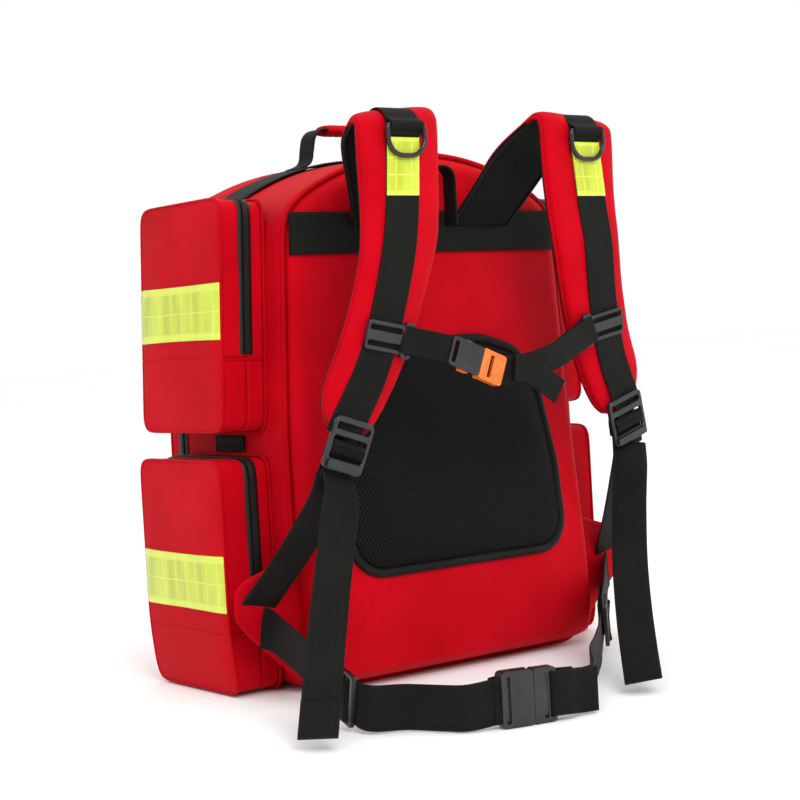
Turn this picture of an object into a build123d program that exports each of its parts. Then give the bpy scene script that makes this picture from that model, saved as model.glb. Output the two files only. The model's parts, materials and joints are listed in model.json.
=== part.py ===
from build123d import *
import os
from math import cos, radians, sin

# Trauma backpack: clamshell pack with four side pockets, a front pocket, shoulder harness,
# sternum strap and hip belt.
#
# Frame: millimetres, +Z up, origin at the middle of the base on the ground.
# -Y is the wearer's side (back panel and harness), +Y the front cover.
# "right" and "left" are the wearer's: right is -X, left is +X.

os.makedirs("parts", exist_ok=True)

# ---------------------------------------------------------------- driving dimensions
HALF_W = 175.0  # half width of the pack below the shoulders
HALF_TOP = 164.5  # half width where the crown arch starts
LEAN_Z = 240.0  # the sides lean inward above this height
ARCH_Z = 443.5  # height where the crown arch starts
HEIGHT = 497.0  # top of the crown
BACK_Y = -100.0  # plane of the back wall
ZIP_Y = 74.0  # rear edge of the main zip
COVER_Y = 78.5  # rear edge of the clamshell cover
FRONT_Y = 105.0  # outer face of the clamshell cover
FOLD_Z = 65.0  # height of the cover's fold, where the main zip ends
WALL = 3.0  # padded fabric wall
SKIN = 2.0  # fabric skin over foam
GAP = 0.6  # clearance between a lid and its tray
WEB = 2.0  # thickness of webbing
BELT_W = 38.0  # hip belt webbing width
STRAP_W = 36.0  # shoulder webbing width
CHEST_W = 25.0  # sternum webbing width
TAPE = 1.2  # thickness of reflective tape
SIDES = {"right": -1, "left": 1}

POCKET_W = 144.0
POCKET_TRAY = 18.0  # depth of the part sewn to the pack
POCKET_ZIP = 5.0  # width of the zip tape fixed to the tray
LEAN = 2.95  # lean of the upper side wall, degrees
# name: (base height, height, depth, fold height above its base, lean, tape from, tape to)
LEVELS = {
    "upper": (241.0, 213.0, 48.0, 68.0, LEAN, 84.0, 136.0),
    "lower": (3.0, 214.0, 54.5, 57.0, 0.0, 76.0, 128.0),
}
FRONT_POCKET = (112.0, 190.0, 32.0, 24.0, 220.0)  # base, height, depth, fold, width

# back panel padding: (distance behind the back wall, height), it swells towards the base
PANEL = [(10.0, HEIGHT), (12.0, 400.0), (16.0, 250.0), (34.0, 100.0), (38.0, 45.0), (33.0, 0.0)]
LUMBAR_T = 11.0

# shoulder strap: side view (y, z) of the face that carries the webbing, from the tip over the shoulder
STRAP_PATH = [(-187.0, 228.0), (-215.5, 400.0), (-213.0, 598.0), (-116.0, 438.0)]
STRAP_BENDS = [170.0, 30.0]
STRAP_T = 14.0
CREST_Y = -190.0  # where the strap turns over the shoulder
STRAP_OUT = [(151, 600), (150, 450), (152, 400), (161, 350), (172, 315), (190, 276), (189, 258), (180, 246)]
STRAP_IN = [(148, 235), (132, 243), (118, 258), (104, 280), (91, 315), (80, 355), (70, 394), (65, 450), (63, 600)]
ROOT = [(19, 425), (92, 425), (151, 515), (151, 600), (63, 600), (63, 520)]
WEB_MID = [(108, 560), (108, 500), (114, 430), (125, 365), (134, 322), (148, 285), (167, 250)]
CHEST_Y = -217.0


# ---------------------------------------------------------------- helpers
def rear(y):
    """Plane facing the wearer at depth y: sketch x is X, sketch y is Z, extrusion runs to -Y."""
    return Plane.XZ.offset(-y)


def across(x):
    """Plane seen from the side at x: sketch x is Y, sketch y is Z."""
    return Plane.YZ.offset(x)


def write(piece, label):
    """Labels a finished piece and writes its STEP file."""
    piece.part.label = label
    export_step(piece.part, f"parts/{label}.step")


def outline(inset=0.0, low=None):
    """Arched outline of the pack as a sketch, smaller all round by inset, cut off below low."""
    with BuildSketch() as shape:
        with BuildLine():
            left = Polyline((-HALF_TOP, ARCH_Z), (-HALF_W, LEAN_Z), (-HALF_W, 0), (HALF_W, 0),
                            (HALF_W, LEAN_Z), (HALF_TOP, ARCH_Z))
            ThreePointArc(left @ 1, (0, HEIGHT), left @ 0)
        make_face()
        corners = shape.vertices().sort_by(Axis.Y)
        fillet(corners[:2], radius=28)
        fillet(shape.vertices().group_by(Axis.Y)[-1], radius=30)
        if inset:
            offset(amount=-inset)
        if low is not None:
            with Locations((0, low)):
                Rectangle(4 * HALF_W, 2 * HEIGHT, align=(Align.CENTER, Align.MIN), mode=Mode.INTERSECT)
    return shape.sketch


def shifted(points, amount):
    """The open line through points moved sideways by amount, keeping its corners mitred."""
    line = [Vector(*p) for p in points]
    normals = [(b - a).normalized().rotate(Axis.Z, 90) for a, b in zip(line, line[1:])]
    moved = [line[0] + normals[0] * amount]
    for corner, before, after in zip(line[1:], normals, normals[1:]):
        mean = (before + after).normalized()
        moved.append(corner + mean * (amount / mean.dot(before)))
    return moved + [line[-1] + normals[-1] * amount]


def band(points, bends, near, far):
    """Face between two parallels of a line with rounded corners, at the distances near and far."""
    turns = []
    line = [Vector(*p) for p in points]
    for a, b, c in zip(line, line[1:], line[2:]):
        turns.append(1 if (b - a).cross(c - b).Z > 0 else -1)
    with BuildSketch() as face:
        with BuildLine():
            ends = []
            for amount in (near, far):
                radii = [bend - turn * amount for bend, turn in zip(bends, turns)]
                track = shifted(points, amount)
                edge = FilletPolyline(*track, radius=radii) if radii else Line(*track)
                ends.append((edge @ 0, edge @ 1))
            Line(ends[0][0], ends[1][0])
            Line(ends[0][1], ends[1][1])
        make_face()
    return face.sketch


def panel_band(near, far):
    """Side view of a layer on the padded back panel, between two distances from its surface."""
    with BuildSketch() as face:
        with BuildLine():
            inner = Spline(*[(BACK_Y - d - near, z) for d, z in PANEL])
            outer = Spline(*[(BACK_Y - d - far, z) for d, z in PANEL])
            Line(inner @ 0, outer @ 0)
            Line(inner @ 1, outer @ 1)
        make_face()
    return face.sketch


def web_plane(start, end, wide):
    """Plane of a strap's path from start to end, whose normal is as near as can be to wide."""
    start, end, wide = Vector(*start), Vector(*end), Vector(*wide)
    along = (end - start).normalized()
    return Plane(origin=start, x_dir=along, z_dir=wide - along * wide.dot(along))


def webbing(plane, points, bends, width):
    """Flat webbing that follows a line in a plane and is width wide across it."""
    with BuildPart() as strip:
        with BuildSketch(plane):
            add(band(points, bends, 0, WEB))
        extrude(amount=width / 2, both=True)
    return strip


def mirrored(side, points):
    """Sketch points given for the left side, on the side asked for."""
    return [(side * x, z) for x, z in points]


# ---------------------------------------------------------------- main compartment
with BuildPart() as main_shell:
    with BuildSketch(rear(ZIP_Y)):
        add(outline())
    extrude(amount=ZIP_Y - BACK_Y)
    with BuildSketch(rear(FRONT_Y)):
        add(outline())
        with Locations((0, FOLD_Z)):
            Rectangle(4 * HALF_W, HEIGHT, align=(Align.CENTER, Align.MIN), mode=Mode.SUBTRACT)
    extrude(amount=FRONT_Y - ZIP_Y)
    with BuildSketch(rear(FRONT_Y - WALL)):
        add(outline(WALL))
    extrude(amount=FRONT_Y - BACK_Y - 2 * WALL, mode=Mode.SUBTRACT)
write(main_shell, "main_shell")

with BuildPart() as main_zip:
    with BuildSketch(rear(COVER_Y - GAP)):
        add(outline(0.4, FOLD_Z + GAP))
        add(outline(WALL), mode=Mode.SUBTRACT)
    extrude(amount=COVER_Y - ZIP_Y - GAP)
write(main_zip, "main_zip")

with BuildPart() as main_cover:
    with BuildSketch(rear(FRONT_Y)):
        add(outline(0, FOLD_Z + GAP))
    extrude(amount=FRONT_Y - COVER_Y)
    with BuildSketch(rear(FRONT_Y - WALL)):
        add(outline(WALL))
    extrude(amount=FRONT_Y, mode=Mode.SUBTRACT)
write(main_cover, "main_cover")

with BuildPart() as frame_sheet:
    with BuildSketch(rear(BACK_Y)):
        add(outline(12))
    extrude(amount=1.5)
write(frame_sheet, "frame_sheet")

PANEL_BACK = BACK_Y - 1.5


def panel_solid(inset):
    """The padded back panel, thinner all round by inset."""
    with BuildPart() as solid:
        with BuildSketch(rear(PANEL_BACK - inset)):
            add(outline(5 + inset))
        extrude(amount=60)
        with BuildSketch(across(0)):
            add(panel_band(-60, -inset))
        extrude(amount=HALF_W, both=True, mode=Mode.INTERSECT)
    return solid


foam = panel_solid(SKIN)
with BuildPart() as back_panel:
    add(panel_solid(0).part)
    add(foam.part, mode=Mode.SUBTRACT)
write(back_panel, "back_panel")

with BuildPart() as back_piping:
    with BuildSketch(rear(BACK_Y)):
        add(outline())
        add(outline(4.5), mode=Mode.SUBTRACT)
    extrude(amount=4)
write(back_piping, "back_piping")

with BuildPart() as divider:
    with BuildSketch(rear(BACK_Y + WALL + 8)):
        with Locations((0, 235)):
            RectangleRounded(300, 390, 30)
    extrude(amount=4)
    with BuildSketch(rear(BACK_Y + WALL + 14)):
        with GridLocations(0, 90, 1, 4):
            with Locations((0, 235)):
                Rectangle(290, 38)
    extrude(amount=6)
write(divider, "divider")


# ---------------------------------------------------------------- back panel trim
def lumbar(inset):
    """Shield outline of the lumbar pad."""
    with BuildSketch() as shield:
        with BuildLine():
            base = Line((-134 + inset, 100 + inset), (134 - inset, 100 + inset))
            right = Line(base @ 1, (134 - inset, 175))
            ThreePointArc(right @ 1, (115 - inset, 264 - inset / 2), (57, 320 - inset))
            Line((57, 320 - inset), (-57, 320 - inset))
            left = ThreePointArc((-57, 320 - inset), (-115 + inset, 264 - inset / 2), (-134 + inset, 175))
            Line(left @ 1, base @ 0)
        make_face()
        fillet(shield.vertices().group_by(Axis.Y)[0], radius=38)
    return shield.sketch


BINDING = 9.0
with BuildPart() as lumbar_pad:
    with BuildSketch(rear(BACK_Y)):
        add(lumbar(BINDING))
    extrude(amount=80)
    with BuildSketch(across(0)):
        add(panel_band(0, LUMBAR_T))
    extrude(amount=HALF_W, both=True, mode=Mode.INTERSECT)
write(lumbar_pad, "lumbar_pad")

with BuildPart() as lumbar_binding:
    with BuildSketch(rear(BACK_Y)):
        add(lumbar(0))
        add(lumbar(BINDING), mode=Mode.SUBTRACT)
    extrude(amount=80)
    with BuildSketch(across(0)):
        add(panel_band(0, 5))
    extrude(amount=HALF_W, both=True, mode=Mode.INTERSECT)
write(lumbar_binding, "lumbar_binding")

YOKE_Z = (400.0, 439.0)
with BuildPart() as yoke_band:
    with BuildSketch(rear(BACK_Y)):
        add(outline(6, YOKE_Z[0]))
        with Locations((0, YOKE_Z[1])):
            Rectangle(400, 100, align=(Align.CENTER, Align.MIN), mode=Mode.SUBTRACT)
    extrude(amount=40)
    with BuildSketch(across(0)):
        add(panel_band(0, WEB))
    extrude(amount=HALF_W, both=True, mode=Mode.INTERSECT)
# haul loop: its webbing stands out from the yoke band and arches between the shoulder straps
LOOP = [(-15.5, 428.0), (-15.5, 482.0), (15.5, 482.0), (15.5, 428.0)]
LOOP_W = 24.0  # width of the loop's webbing
LOOP_Y = BACK_Y - 25.0  # middle of that width
with BuildPart() as yoke_webbing:
    add(yoke_band.part)
    with BuildSketch(rear(LOOP_Y)):
        add(band(LOOP, [12, 12], 0, WEB))
    extrude(amount=LOOP_W / 2, both=True)
write(yoke_webbing, "yoke_webbing")

# ---------------------------------------------------------------- grab handle on the crown
HANDLE_Z = HEIGHT + 5
HANDLE_Y = 22.0  # middle of the handle and of the webbing it is sewn to
TAB_Y, TAB_Z = -10.0, 229.0
with BuildPart() as gusset_webbing:
    with BuildSketch(rear(HANDLE_Y + BELT_W / 2)):
        add(outline(-2.2))
        add(outline(0), mode=Mode.SUBTRACT)
        with Locations((0, 440)):
            Rectangle(296, 120, align=(Align.CENTER, Align.MIN), mode=Mode.INTERSECT)
    extrude(amount=BELT_W)
    # the short tabs between the side pockets
    with BuildSketch(Plane.YZ.offset(HALF_W)):
        with Locations((TAB_Y, TAB_Z)):
            Rectangle(49, 15)
    extrude(amount=WEB)
    with BuildSketch(Plane.YZ.offset(-HALF_W)):
        with Locations((TAB_Y, TAB_Z)):
            Rectangle(49, 15)
    extrude(amount=-WEB)
write(gusset_webbing, "gusset_webbing")

ARCH = [(-46.0, HANDLE_Z + 9), (-42.0, 531.0), (42.0, 531.0), (46.0, HANDLE_Z + 9)]
with BuildPart() as handle_web:
    with BuildSketch(rear(HANDLE_Y)):
        add(band(ARCH, [16, 16], 0, WEB))
    extrude(amount=12, both=True)
write(handle_web, "handle_web")

with BuildPart() as handle_grip:
    with BuildSketch(across(0)):
        with Locations((HANDLE_Y, 532)):
            RectangleRounded(28, 11, 5)
            Rectangle(24.6, WEB + 0.6, mode=Mode.SUBTRACT)
    extrude(amount=26, both=True)
write(handle_grip, "handle_grip")


# ---------------------------------------------------------------- pockets
def pocket_outline(width, height, low=0.0, high=1000.0, inset=0.0):
    """Rounded pocket outline standing on the sketch origin, kept between low and high."""
    with BuildSketch() as shape:
        with Locations((0, height / 2)):
            RectangleRounded(width, height, 14)
        if inset:
            offset(amount=-inset)
        with Locations((0, low)):
            Rectangle(2 * width, high - low, align=(Align.CENTER, Align.MIN), mode=Mode.INTERSECT)
    return shape.sketch


def pocket_tray(plane, width, height, depth, fold):
    """The fixed half of a pocket: the part sewn to the pack and the front below the fold."""
    with BuildPart() as tray:
        with BuildSketch(plane.offset(0.3)):
            add(pocket_outline(width, height))
        extrude(amount=POCKET_TRAY - 0.3)
        with BuildSketch(plane.offset(POCKET_TRAY)):
            add(pocket_outline(width, height, high=fold))
        extrude(amount=depth - POCKET_TRAY)
        with BuildSketch(plane.offset(WALL)):
            add(pocket_outline(width, height, inset=WALL))
        extrude(amount=depth - 2 * WALL, mode=Mode.SUBTRACT)
    return tray


def pocket_zip(plane, width, height, fold):
    """Zip tape round the mouth of a tray, open at the fold."""
    with BuildPart() as tape:
        with BuildSketch(plane.offset(POCKET_TRAY)):
            add(pocket_outline(width - 0.8, height - 0.4, low=fold + GAP))
            add(pocket_outline(width, height, inset=WALL), mode=Mode.SUBTRACT)
        extrude(amount=POCKET_ZIP - GAP)
    return tape


def pocket_lid(plane, width, height, depth, fold):
    """The lid of a pocket: outer face and rim above the fold, open at the fold."""
    with BuildPart() as lid:
        with BuildSketch(plane.offset(POCKET_TRAY + POCKET_ZIP)):
            add(pocket_outline(width, height, low=fold + GAP))
        extrude(amount=depth - POCKET_TRAY - POCKET_ZIP)
        with BuildSketch(plane):
            add(pocket_outline(width, height, inset=WALL))
        extrude(amount=depth - WALL, mode=Mode.SUBTRACT)
    return lid


def pocket_tape(plane, width, depth, low, high):
    """Reflective tape across the outer face of a lid."""
    with BuildPart() as tape:
        with BuildSketch(plane.offset(depth)):
            with Locations((0, (low + high) / 2)):
                Rectangle(width - 8, high - low)
        extrude(amount=TAPE)
    return tape


def zip_slider(plane):
    """Zip slider and hanging pull; the plane's normal leaves the fabric and its y runs up the zip."""
    with BuildPart() as slider:
        with BuildSketch(plane.offset(0.4)):
            RectangleRounded(8, 11, 2)
        extrude(amount=2.4)
        with BuildSketch(plane.offset(2.8)):
            Rectangle(3, 8)
        extrude(amount=1.6)
        with BuildSketch(plane.offset(4.4)):
            with Locations((0, -9)):
                RectangleRounded(6.5, 26, 2.5)
            with Locations((0, -17)):
                RectangleRounded(2.5, 6, 1)
        extrude(amount=1.6)
    return slider


def side_plane(side, base, lean):
    """Plane on the side wall: y up the wall, normal outward."""
    tilt = radians(lean)
    foot = HALF_W - max(0.0, base - LEAN_Z) * sin(tilt)
    return Plane(origin=(side * foot, 0, base), x_dir=(0, side, 0), z_dir=(side * cos(tilt), 0, sin(tilt)))


pocket_zips = []
for level, (base, height, depth, fold, lean, low, high) in LEVELS.items():
    for name, side in SIDES.items():
        plane = side_plane(side, base, lean)
        write(pocket_tray(plane, POCKET_W, height, depth, fold), f"{level}_{name}_pocket")
        write(pocket_lid(plane, POCKET_W, height, depth, fold), f"{level}_{name}_lid")
        write(pocket_tape(plane, POCKET_W, depth, low, high), f"{level}_{name}_tape")
        pocket_zips.append(pocket_zip(plane, POCKET_W, height, fold))
        # the slider rests at the foot of the zip on the side away from the wearer
        mouth = plane.offset(POCKET_TRAY + POCKET_ZIP / 2).origin
        foot = mouth + plane.y_dir * (fold + 8) + Vector(0, POCKET_W / 2, 0)
        write(zip_slider(Plane(origin=foot, x_dir=plane.z_dir * -side * side, z_dir=(0, 1, 0))),
              f"{level}_{name}_zip_slider")

with BuildPart() as zips:
    for tape in pocket_zips:
        add(tape.part)
write(zips, "pocket_zips")

base, height, depth, fold, width = FRONT_POCKET
front_plane = Plane(origin=(0, FRONT_Y, base), x_dir=(-1, 0, 0), z_dir=(0, 1, 0))
write(pocket_tray(front_plane, width, height, depth, fold), "front_pocket")
write(pocket_lid(front_plane, width, height, depth, fold), "front_lid")
write(pocket_zip(front_plane, width, height, fold), "front_zip")
slider_at = (-width / 2, FRONT_Y + POCKET_TRAY + POCKET_ZIP / 2, base + fold + 8)
write(zip_slider(Plane(origin=slider_at, x_dir=(0, -1, 0), z_dir=(-1, 0, 0))), "front_zip_slider")

# the two sliders of the main zip meet halfway up the left side
for name, height in (("upper", 168.0), ("lower", 128.0)):
    at = (HALF_W, (ZIP_Y + COVER_Y) / 2 + 3, height)
    write(zip_slider(Plane(origin=at, x_dir=(0, 1, 0), z_dir=(1, 0, 0))), f"main_zip_slider_{name}")


# ---------------------------------------------------------------- shoulder straps
def strap_layer(side, near, far, front, back, inset=0.0):
    """A layer of the shoulder strap between two distances from its face, cut to its outlines."""
    with BuildPart() as layer:
        with BuildSketch(rear(CREST_Y)):
            Polygon(*mirrored(side, front), align=None)
            if inset:
                offset(amount=-inset)
        extrude(amount=60)
        with BuildSketch(rear(BACK_Y)):
            Polygon(*mirrored(side, back), align=None)
            if inset:
                offset(amount=-inset)
        extrude(amount=BACK_Y - CREST_Y + inset)
        with BuildSketch(across(0)):
            add(band(STRAP_PATH, STRAP_BENDS, near, far))
        extrude(amount=side * 300, mode=Mode.INTERSECT)
    return layer


def web_outline(low, high, half):
    """Outline of webbing of a half width along the strap's middle line between two heights."""
    inner = [(x - half, z) for x, z in WEB_MID]
    outer = [(x + half, z) for x, z in reversed(WEB_MID)]
    with BuildSketch() as shape:
        Polygon(*inner, *outer, align=None)
        with Locations((0, low)):
            Rectangle(500, high - low, align=(Align.CENTER, Align.MIN), mode=Mode.INTERSECT)
    return shape.sketch


def on_strap(side, low, high, half, near, far):
    """Something flat that lies on the front run of the strap between two heights."""
    with BuildPart() as layer:
        with BuildSketch(rear(CREST_Y)):
            add(web_outline(low, high, half))
        extrude(amount=60)
        with BuildSketch(across(0)):
            add(band(STRAP_PATH, STRAP_BENDS, near, far))
        extrude(amount=300, mode=Mode.INTERSECT)
        if side < 0:
            mirror(about=Plane.YZ, mode=Mode.REPLACE)
    return layer


OUTLINE = STRAP_OUT + STRAP_IN
PATCH_Z = (443, 495)  # ends of the reflective patch on the webbing
RING_Y, RING_Z = -220.7, 505.0  # straight bar of the ring, which hangs against the webbing
RING_R = 2.2  # radius of the ring's rod
foam_cores = [foam]
strap_webs = []
patches = []
for name, side in SIDES.items():
    core = strap_layer(side, -STRAP_T + SKIN, -SKIN, OUTLINE, ROOT, SKIN)
    foam_cores.append(core)
    whole = strap_layer(side, -STRAP_T, 0, OUTLINE, ROOT)
    with BuildPart() as shoulder_pad:
        add(whole.part)
        add(core.part, mode=Mode.SUBTRACT)
    write(shoulder_pad, f"shoulder_pad_{name}")

    with BuildPart() as strap_web:
        add(on_strap(side, 252, 530, STRAP_W / 2, 0, WEB).part)
        # the keeper that holds the ring's straight bar
        with BuildSketch(rear(RING_Y + 8.6)):
            with Locations((side * 108, RING_Z)):
                RectangleRounded(22, 9, 2)
        extrude(amount=13)
        with BuildSketch(across(side * 108)):
            with Locations((RING_Y, RING_Z)):
                Circle(RING_R + 0.35)
        extrude(amount=30, both=True, mode=Mode.SUBTRACT)
        add(whole.part, mode=Mode.SUBTRACT)
    strap_webs.append(strap_web)
    patches.append(on_strap(side, *PATCH_Z, STRAP_W / 2, WEB, WEB + TAPE))

    with BuildPart() as ring:
        middle = Plane(origin=(side * 108, RING_Y, RING_Z), x_dir=(1, 0, 0), z_dir=(0, -1, 0))
        with BuildLine(middle):
            FilletPolyline((0, 0), (20, 0), (20, -27), (0, -27), radius=[4, 16])
        with BuildSketch(Plane(origin=middle.origin, z_dir=(1, 0, 0))):
            Circle(RING_R)
        sweep()
        mirror(about=Plane.YZ.offset(side * 108))
    write(ring, f"d_ring_{name}")


def group(pieces):
    """Several separate solids of one kind as one node."""
    with BuildPart() as together:
        for piece in pieces:
            add(piece.part)
    return together


write(group(foam_cores), "foam_cores")
write(group(strap_webs), "strap_webs")
write(group(patches), "strap_patches")

# ---------------------------------------------------------------- strap hardware
FACE = Vector(0, -28.5, 172).normalized()  # up the straight front run of the strap
FACE_OUT = Vector(0, -172, -28.5).normalized()  # out of it, away from the wearer's chest


def face_point(x, z, proud):
    """Point over the straight front run of the strap, proud of its webbing face."""
    tip_y, tip_z = STRAP_PATH[0]
    return Vector(x, tip_y + (z - tip_z) * FACE.Y / FACE.Z, z) + FACE_OUT * proud


def face_plane(side, x, z, proud, turn):
    """Plane over the strap's face, y up the webbing, turned outward at the foot by an angle."""
    up = FACE * cos(radians(turn)) - Vector(side, 0, 0) * sin(radians(turn))
    return Plane(origin=face_point(side * x, z, proud), x_dir=up.cross(FACE_OUT), z_dir=FACE_OUT)


def slotted(plane, width, height, thick, slots, corner=3.0):
    """Moulded frame with rounded corners and slots given as (x, y, width, height)."""
    with BuildPart() as frame:
        with BuildSketch(plane):
            RectangleRounded(width, height, corner)
            for x, y, w, h in slots:
                with Locations((x, y)):
                    RectangleRounded(w, h, min(w, h) * 0.3, mode=Mode.SUBTRACT)
        extrude(amount=thick)
        top = frame.faces().filter_by(Axis(plane.origin, plane.z_dir)).sort_by(Axis(plane.origin, plane.z_dir))
        chamfer(top[-1].edges(), length=0.7)
    return frame


SLIDER_TURN = 11.5
LOCK_TURN = 18.4
for name, side in SIDES.items():
    # chest strap slider: two bars across the shoulder webbing and a loop on the inner side
    plane = face_plane(side, 134, 322, WEB + 0.5, SLIDER_TURN)
    loop_x = -side * (STRAP_W / 2 + 7.5) * plane.x_dir.X / abs(plane.x_dir.X)
    with BuildPart() as slider:
        add(slotted(plane, STRAP_W + 5, 26, 3.6, [(0, 7, STRAP_W, 4.5), (0, -7, STRAP_W, 4.5)]).part)
        with BuildSketch(plane):
            with Locations((loop_x, 0)):
                RectangleRounded(11, CHEST_W + 7, 3)
                RectangleRounded(4.4, CHEST_W + 1, 1.5, mode=Mode.SUBTRACT)
            Rectangle(STRAP_W + 1, 100, mode=Mode.SUBTRACT)
        extrude(amount=3.2)
    write(slider, f"sternum_slider_{name}")

    # ladder lock at the strap's tip: fixed bar, grip bar and lifting lip
    plane = face_plane(side, 169, 229, WEB + 0.5, LOCK_TURN)
    bars = [(0, 15.5, STRAP_W + 1, 6), (0, 3, STRAP_W + 1, 7), (0, -10.5, STRAP_W + 1, 6)]
    with BuildPart() as lock:
        add(slotted(plane, STRAP_W + 8, 48, 4.0, bars, 6).part)
        with BuildSketch(plane.offset(4)):
            with Locations((0, -18.5)):
                RectangleRounded(STRAP_W + 2, 7, 2)
        extrude(amount=2.5)
    write(lock, f"ladder_lock_{name}")

# ---------------------------------------------------------------- wings, anchors, tails
WING = [(175.5, 128), (175.5, 14), (226, 60), (240, 78), (238, 104), (226, 112)]
WING_Y = -99.5
with BuildPart() as hip_wings:
    with BuildSketch(rear(WING_Y)):
        for side in SIDES.values():
            Polygon(*mirrored(side, WING), align=None)
    extrude(amount=4)
write(hip_wings, "hip_wings")

anchors = []
tails = []
TAIL_START = {"right": (-181.5, -194, 189), "left": (166, -196, 189)}
TAIL_END = {"right": (-297, -307, 11.5), "left": (10, -357, 12.5)}
for name, side in SIDES.items():
    start, end = Vector(side * 175, -183, 203), Vector(side * 213, -109, 94)
    run = (end - start).length
    anchors.append(webbing(web_plane(start, end, (1, 0, 0)), [(0, 0), (run, 0)], [], STRAP_W))
    start, end = Vector(*TAIL_START[name]), Vector(*TAIL_END[name])
    run = (end - start).length
    path = [(0, 0), (run * 0.5, run * 0.02), (run, 0)]
    tails.append(webbing(web_plane(start, end, (0.95, 0.31, 0)), path, [600], STRAP_W))
write(group(anchors), "anchor_webs")
write(group(tails), "strap_tails")


# ---------------------------------------------------------------- side-release buckles
def buckle_female(plane, length, width, thick):
    """Socket half: two plates open at the mouth and sides, joined by a bar with a webbing slot.

    The plane's x runs along the strap, and the mouth is at x = 0.
    """
    with BuildPart() as socket:
        with BuildSketch(plane.offset(-thick / 2)):
            with Locations((-length / 2, 0)):
                RectangleRounded(length, width, 4)
            with Locations((-length + 5.5, 0)):
                RectangleRounded(4.5, width - 7, 1.5, mode=Mode.SUBTRACT)
        extrude(amount=thick)
        with BuildSketch(plane.offset(-thick / 2 + 2.2)):
            Rectangle(2 * (length - 12), width + 10)
        extrude(amount=thick - 4.4, mode=Mode.SUBTRACT)
    return socket


def buckle_male(plane, reach, length, width, thick, slots):
    """Plug half: shoulder, webbing frame, centre guide and two side arms with finger pads."""
    arm = thick - 5.4
    with BuildPart() as plug:
        with BuildSketch(plane.offset(-thick / 2)):
            with Locations((3.4, 0)):
                RectangleRounded(6, width, 2)
        extrude(amount=thick)
        with BuildSketch(plane.offset(-thick / 2 + 1)):
            with Locations((length / 2 + 2, 0)):
                RectangleRounded(length - 2, width, 3)
            for x in slots:
                with Locations((x, 0)):
                    RectangleRounded(4.5, width - 7, 1.5, mode=Mode.SUBTRACT)
        extrude(amount=thick - 2)
        with BuildSketch(plane.offset(-arm / 2)):
            with Locations((-reach * 0.35 + 1, 0)):
                RectangleRounded(reach * 0.7, width * 0.12, 1)
            for side in (-1, 1):
                with Locations((-reach / 2 + 1, side * width * 0.32)):
                    RectangleRounded(reach, width * 0.1, 1)
                with Locations((-reach * 0.72, side * width * 0.42)):
                    RectangleRounded(reach * 0.5, width * 0.2, 2)
        extrude(amount=arm)
    return plug


WAIST = Plane(origin=(-124, -363, 23.4), x_dir=(0.972, -0.237, 0), z_dir=(-0.237, -0.972, 0))
write(buckle_female(WAIST, 29, 46, 12), "waist_socket")
write(buckle_male(WAIST, 15, 20, 45, 12, [11.5, 17]), "waist_plug")

chest_axis = Vector(cos(radians(21.6)), 0, -sin(radians(21.6)))
CHEST = Plane(origin=(-38, CHEST_Y, 293.5), x_dir=chest_axis, z_dir=(0, -1, 0))
write(buckle_female(CHEST, 37, 27, 10), "sternum_socket")
write(buckle_male(CHEST, 22, 27, 28, 10, [12]), "sternum_plug")

# ---------------------------------------------------------------- sternum webbing
with BuildPart() as sternum_web_right:
    with BuildSketch(rear(CHEST_Y + 1)):
        Polygon((-112.5, 335), (-112.5, 309), (-78.5, 295.5), (-70.5, 319), align=None)
    extrude(amount=WEB)
write(sternum_web_right, "sternum_web_right")

with BuildPart() as sternum_web_left:
    with BuildSketch(rear(CHEST_Y + 1)):
        Polygon((112.5, 335), (112.5, 309), (64, 283), (23, 275), (20.5, 298.5), (60, 309), align=None)
    extrude(amount=WEB)
    with BuildSketch(rear(CHEST_Y - 1)):
        Polygon((22, 297), (24, 275), (50, 251), (55, 272), align=None)
    extrude(amount=WEB)
write(sternum_web_left, "sternum_web_left")

# ---------------------------------------------------------------- hip belt
BELT_Z = 1.0 + BELT_W / 2
WING_END = {"right": Vector(-208, -108, 66), "left": Vector(208, -109, 66)}
FLOOR_END = {"right": Vector(-237, -283, 23), "left": Vector(122, -188, 23)}
FLOOR_RUN = {
    "right": ([(-236.8, -282.4), (-205, -300), (-181, -349.5), (-157, -355.4)], [22, 22]),
    "left": ([(-78, -373.5), (-58, -366), (2, -301), (76, -234), (116, -194)], [30, 150, 220]),
}
belts = []
for name, side in SIDES.items():
    run = (FLOOR_END[name] - WING_END[name]).length
    slope = web_plane(WING_END[name], FLOOR_END[name], (0, 0, 1))
    belts.append(webbing(slope, [(0, 0), (run, 0)], [], BELT_W))
    points, bends = FLOOR_RUN[name]
    belts.append(webbing(Plane.XY.offset(BELT_Z), points, bends, BELT_W))

    # tri-glide adjuster on the sloping run: three bars across the webbing
    out = slope.y_dir if slope.y_dir.Y * side < 0 or slope.y_dir.X * side > 0 else slope.y_dir * -1
    proud = WEB + 0.6 if out.dot(slope.y_dir) > 0 else 0.6
    at = FLOOR_END[name] - slope.x_dir * 23 + out * proud
    glide = Plane(origin=at, x_dir=slope.x_dir, z_dir=out)
    slots = [(-7, 0, 5, BELT_W + 0.6), (7, 0, 5, BELT_W + 0.6)]
    write(slotted(glide, 29, BELT_W + 7, 4, slots), f"tri_glide_{name}")
write(group(belts), "belt_webs")
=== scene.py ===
import json
import math

import bmesh
import bpy
import numpy as np
from mathutils import Matrix, Vector, noise

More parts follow.
